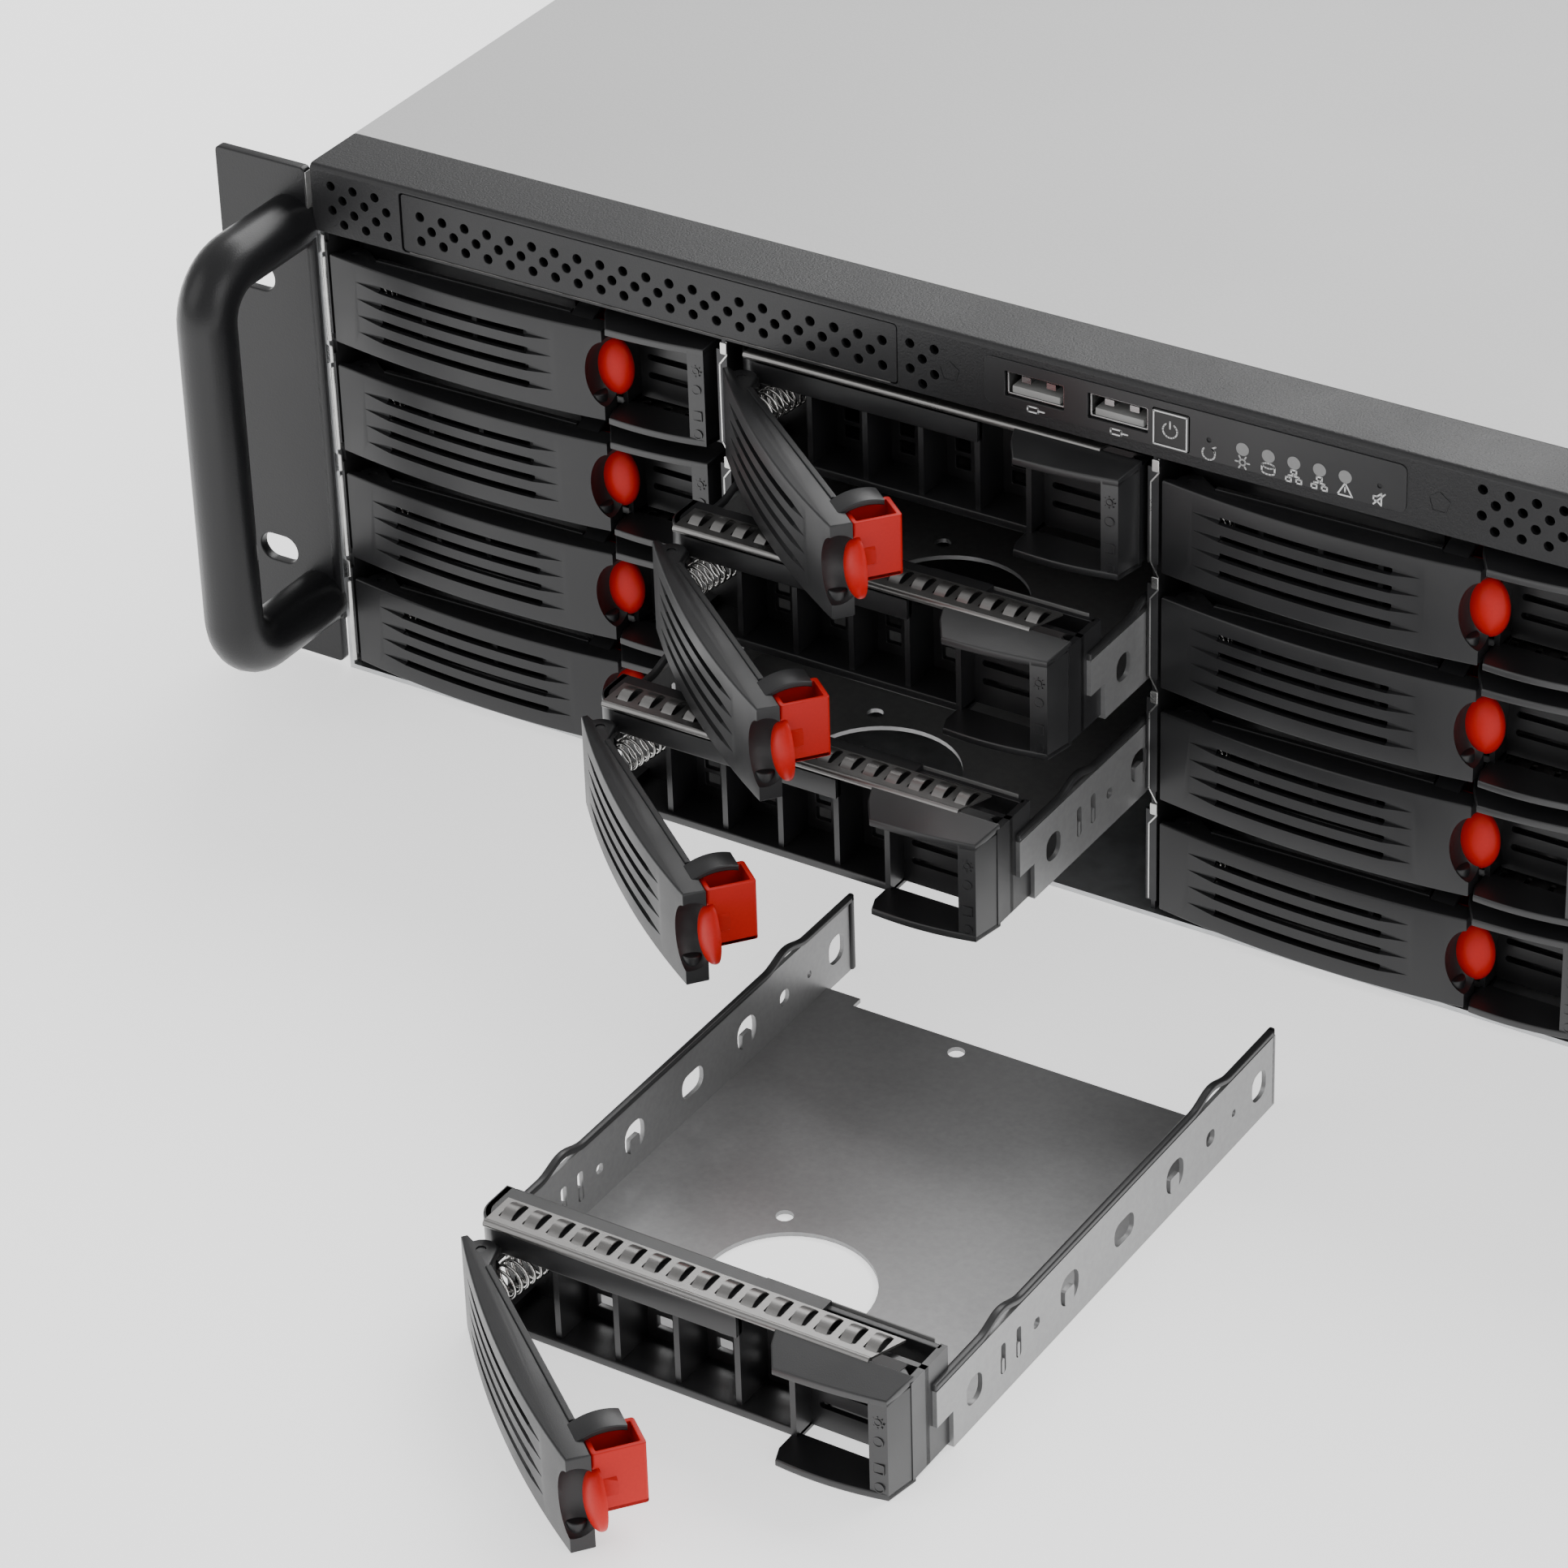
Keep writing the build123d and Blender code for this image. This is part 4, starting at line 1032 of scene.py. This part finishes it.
def panel_signs():
    """Signs below the lights and openings: reset, lamp, disk, two networks, alert, mute and plugs."""
    z = sign_low
    x = reset_across
    lines = [arc((x, z), 1.5, -220, 60, 12)]
    lines.append([(x + 1.6, z + 1.8), (x + 0.75, z + 1.3), (x + 1.5, z + 0.6)])
    lamp, disk, first_net, second_net, alert = light_places
    lines.append(closed(circle((lamp, z), 0.7, 10)))
    for turn in range(0, 360, 60):
        way = (cos(radians(turn)), sin(radians(turn)))
        lines.append([(lamp + reach * way[0], z + reach * way[1]) for reach in (1.1, 1.6)])
    lines.append(closed(ellipse((disk, z + 0.8), 1.5, 0.6, 14)))
    for x in (disk - 1.5, disk + 1.5):
        lines.append([(x, z + 0.8), (x, z - 0.6)])
    turns = [radians(turn) for turn in range(180, 361, 30)]
    lines.append([(disk + 1.5 * cos(turn), z - 0.6 + 0.6 * sin(turn)) for turn in turns])
    for net in (first_net, second_net):
        for across, up in ((0, 0.9), (-1.2, -1.0), (1.2, -1.0)):
            lines.append(closed(around((net + across, z + up), 0.6, 0.45)))
        lines.append([(net, z + 0.4), (net, z), (net - 1.2, z), (net - 1.2, z - 0.5)])
        lines.append([(net, z), (net + 1.2, z), (net + 1.2, z - 0.5)])
    lines.append(closed([(alert - 1.7, z - 1.3), (alert + 1.7, z - 1.3), (alert, z + 1.6)]))
    lines.append([(alert, z + 0.6), (alert, z - 0.4)])
    x = mute_across
    lines.append(closed([(x - 1.3, z - 0.5), (x - 0.5, z - 0.5), (x + 0.5, z - 1.4),
                         (x + 0.5, z + 1.4), (x - 0.5, z + 0.5), (x - 1.3, z + 0.5)]))
    lines.append([(x - 1.3, z - 1.4), (x + 1.3, z + 1.4)])
    for x in socket_places:
        lines.append(closed(rectangle(x - 1.6, z - 1.5, x + 1.0, z - 0.3, 0.2, 2)))
        lines.append([(x + 1.0, z - 0.9), (x + 2.4, z - 0.9)])
    return lines


def button_signs():
    """A thin frame and the power sign on the button."""
    x, z = button_middle
    lines = [closed(around(button_middle, 3.9, 3.9))]
    lines.append(arc((x, z), 1.7, -235, 55, 14))
    lines.append([(x, z + 0.5), (x, z + 2.1)])
    return lines


def socket_mesh(middle):
    """A socket's bright steel shell, its back and two contacts."""
    half, tall = socket_width / 2 - 0.2, socket_height / 2 - 0.2
    outer = around((middle, socket_middle), half, tall, 0.5)
    inner = around((middle, socket_middle), half - socket_wall, tall - socket_wall, 0.3)
    shell = facing_front(plate([outer, inner], socket_depth, 0.12), panel_back)
    back = facing_front(plate([outer], 0.5), panel_back)
    contacts = [block((middle + shift - 1.1, strip_front + 1.0, socket_middle + 0.5),
                      (middle + shift + 1.1, 8.0, socket_middle + 1.9)) for shift in (-2.6, 3.4)]
    return finished(joined([shell, back] + contacts), socket_steel)


def front_pieces():
    """Everything on the front strip."""
    piece("strip_sheet", front_strip_mesh(), "chassis", None, ("front_strip",))
    piece("blank_cover", blank_mesh(), "chassis", None, ("optical_blank",))
    # A thin bright bead along the blank's lower edge: a painted highlight where the edge catches the light
    bead = circle((strip_front + 0.2, strip_bottom + 0.5), highlight_bead_radius, 8)
    highlight_bead = facing_side(plate([bead], blank_right - blank_left - 4), blank_left + 2)
    piece("blank_painted_highlight_edge", finished(highlight_bead, painted_highlight_edge), "chassis")
    film = [rectangle(panel_left, panel_low, panel_right, panel_high, 1.5)] + panel_openings()
    film += [circle((x, light_up), pinhole_radius, 12) for x in (reset_across, mute_across)]
    sheet = facing_front(plate(film, film_sheet, 0.06), strip_front)
    board = block((panel_left, panel_back, panel_low), (panel_right, panel_back + board_sheet, panel_high))
    panel = finished(joined([sheet, board]), overlay_film)
    piece("panel_film", panel, "chassis", None, ("control_panel",))
    for index, middle in enumerate(socket_places):
        piece(f"socket_{index + 1}", socket_mesh(middle), "chassis")
        tongue = block((middle - 5.8, strip_front + 0.6, socket_middle - 2.3),
                       (middle + 5.8, 8.4, socket_middle - 0.6))
        tongue = finished(softened(tongue, 0.2), tongue_plastic)
        piece(f"socket_tongue_{index + 1}", tongue, "chassis")
    print_back = strip_front - film_sheet
    lamps = [facing_front(plate([circle((x, light_up), lamp_radius, 20)], 0.12, 0.04), print_back)
             for x in light_places]
    piece("indicator_lights", finished(joined(lamps), lamp_grey), "chassis")
    piece("panel_print", printed(panel_signs(), print_back), "chassis")
    piece("button_print", printed(button_signs(), strip_front - 0.7), "power_button")


def cage_edges():
    """Bare steel at the cage's front: round outer lips, tabs between the rows and thin notched edges."""
    parts = []
    tops = [row_floor + row_pitch * (4 - row) for row in range(4)]
    for side in (-1, 1):
        for top in tops:
            length = row_pitch - cage_tab_high - 1
            lip = plate([circle((side * cage_lip_across, cage_lip_front), cage_lip_radius, 14)], length, 0.3)
            parts.append(lying(lip, top - row_pitch + 0.5))
            left = side * cage_lip_across - cage_tab_wide / 2
            tab = plate([[(left, top - cage_tab_high), (left + cage_tab_wide, top - cage_tab_high + 0.8),
                          (left + cage_tab_wide, top - 0.6), (left, top)]], 0.7, 0.2)
            parts.append(facing_front(tab, cage_lip_front - 0.1))
    for divider in (-1, 0, 1):
        across = divider * column_pitch
        line = [(across + shift, top - drop) for top in tops for shift, drop in cage_notch]
        parts.append(facing_front(joined(stroke(line, cage_line)), cage_front))
        for top in tops:
            tab = plate([rectangle(across - 0.2, top - 3.4, across + 1.5, top - 0.5, 0.3)], 0.4, 0.15)
            parts.append(facing_front(tab, cage_front))
    piece("cage_edges", finished(joined(parts), bright_steel), "chassis")
    edge = facing_side(plate([circle(cage_top_line, cage_top_radius, 8)], cage_top_length), cage_top_from)
    piece("cage_top_edge", finished(edge, bright_steel), "chassis")


def ear_mesh():
    """The left ear: a slotted plate with a leg along the side, and the bent round bar of the handle."""
    half, tall = ear_slot[0] / 2, ear_slot[1] / 2
    slots = [around((-slot_across, up), half, tall, tall - 0.01, 8) for up in ear_slots_up]
    outline = rectangle(-ear_out, ear_low, -ear_in, ear_high, ear_round)
    parts = [facing_front(plate([outline] + slots, ear_sheet, 0.3), 0)]
    leg = block((-ear_in - ear_leg_sheet, -ear_sheet, ear_low + ear_leg_inset),
                (-strip_side, ear_leg_back, ear_high - ear_leg_inset))
    parts.append(softened(leg, 0.25))
    reach, low, high, bend = handle_reach, handle_low, handle_high, handle_bend
    path = [(-1.0, low)] + arc((-reach + bend, low + bend), bend, 270, 180, 10)
    path += arc((-reach + bend, high - bend), bend, 180, 90, 10) + [(-1.0, high)]
    parts.append(wire([(-handle_across, back, up) for back, up in path], handle_bar / 2, 8))
    return joined(parts)


def ears():
    """Both ears with their handles, the right one mirrored, and the bare edges beside the strip."""
    left = ear_mesh()
    right = left.copy()
    right.transform(Matrix.Diagonal((-1, 1, 1, 1)))
    right.flip_normals()
    both = finished(joined([left, right]), ear_coat)
    piece("ears_with_handles", both, "chassis", None, ("rack_ears",))
    low, high = ear_high - ear_leg_inset + 0.5, ear_high - 1
    edges = [block((inner, -ear_sheet + 0.2, low), (inner + 0.25, -0.1, high))
             for inner in (-ear_in - 0.1, ear_in - 0.15)]
    piece("ear_bare_edges", finished(joined(edges), bright_steel), "chassis")


ears()
front_pieces()
cage_edges()


# Camera, floor and light

def aim(thing, place, target):
    """Put a thing at a place in metres, looking at the target."""
    look = Vector(target) - Vector(place)
    thing.matrix_world = Matrix.Translation(place) @ look.to_track_quat("-Z", "Y").to_matrix().to_4x4()


def photo_camera():
    """The camera where the photograph was taken from."""
    yaw, pitch, roll = radians(camera_yaw), radians(camera_pitch), radians(camera_roll)
    level = Vector((cos(yaw), sin(yaw), 0))
    back = Vector((sin(yaw) * cos(pitch), -cos(yaw) * cos(pitch), sin(pitch)))
    rise = back.cross(level)
    right = level * cos(roll) + rise * sin(roll)
    up = rise * cos(roll) - level * sin(roll)
    lens = bpy.data.cameras.new("photo_camera")
    lens.sensor_width = sensor_width
    lens.lens = focal_length
    lens.clip_start = 0.05
    lens.clip_end = 30
    view = bpy.data.objects.new("photo_camera", lens)
    scene.collection.objects.link(view)
    turn = Matrix((right, up, back)).transposed().to_4x4()
    view.matrix_world = Matrix.Translation(Vector(camera_place) * metre) @ turn
    scene.camera = view


def softbox(name, place, target, width, height, power):
    """A rectangular lamp."""
    lamp = bpy.data.lights.new(name, "AREA")
    lamp.shape = "RECTANGLE"
    lamp.size = width
    lamp.size_y = height
    lamp.energy = power
    holder = bpy.data.objects.new(name, lamp)
    scene.collection.objects.link(holder)
    aim(holder, place, target)


def studio():
    """A pale floor, an even sky and three soft lamps."""
    sky = bpy.data.worlds.new("studio")
    sky.use_nodes = True
    glow = sky.node_tree.nodes["Background"].inputs
    glow["Color"].default_value = (1, 1, 1, 1)
    glow["Strength"].default_value = sky_strength
    scene.world = sky
    floor = plate([rectangle(-6000, -6000, 6000, 6000)], 10)
    floor.transform(Matrix.Translation((0, 0, -10)))
    pale = surface("pale_floor", (0.94, 0.94, 0.94), 0.8, 0.0, 60.0, 0.005, 0.0)
    shader = pale.node_tree.nodes["Principled BSDF"]
    shader.inputs["Emission Color"].default_value = (1, 1, 1, 1)
    shader.inputs["Emission Strength"].default_value = floor_glow
    ground = bpy.data.objects.new("floor", finished(floor, pale))
    scene.collection.objects.link(ground)
    softbox("top_back_softbox", (0.1, 1.9, 1.9), (0.0, 0.15, 0.1), 3.0, 1.6, 72)
    softbox("front_left_softbox", (-1.3, -1.5, 1.2), (0.0, 0.0, 0.05), 1.6, 1.6, 9)
    softbox("right_softbox", (1.8, -0.6, 1.0), (0.0, 0.0, 0.05), 1.2, 1.2, 8)


photo_camera()
studio()
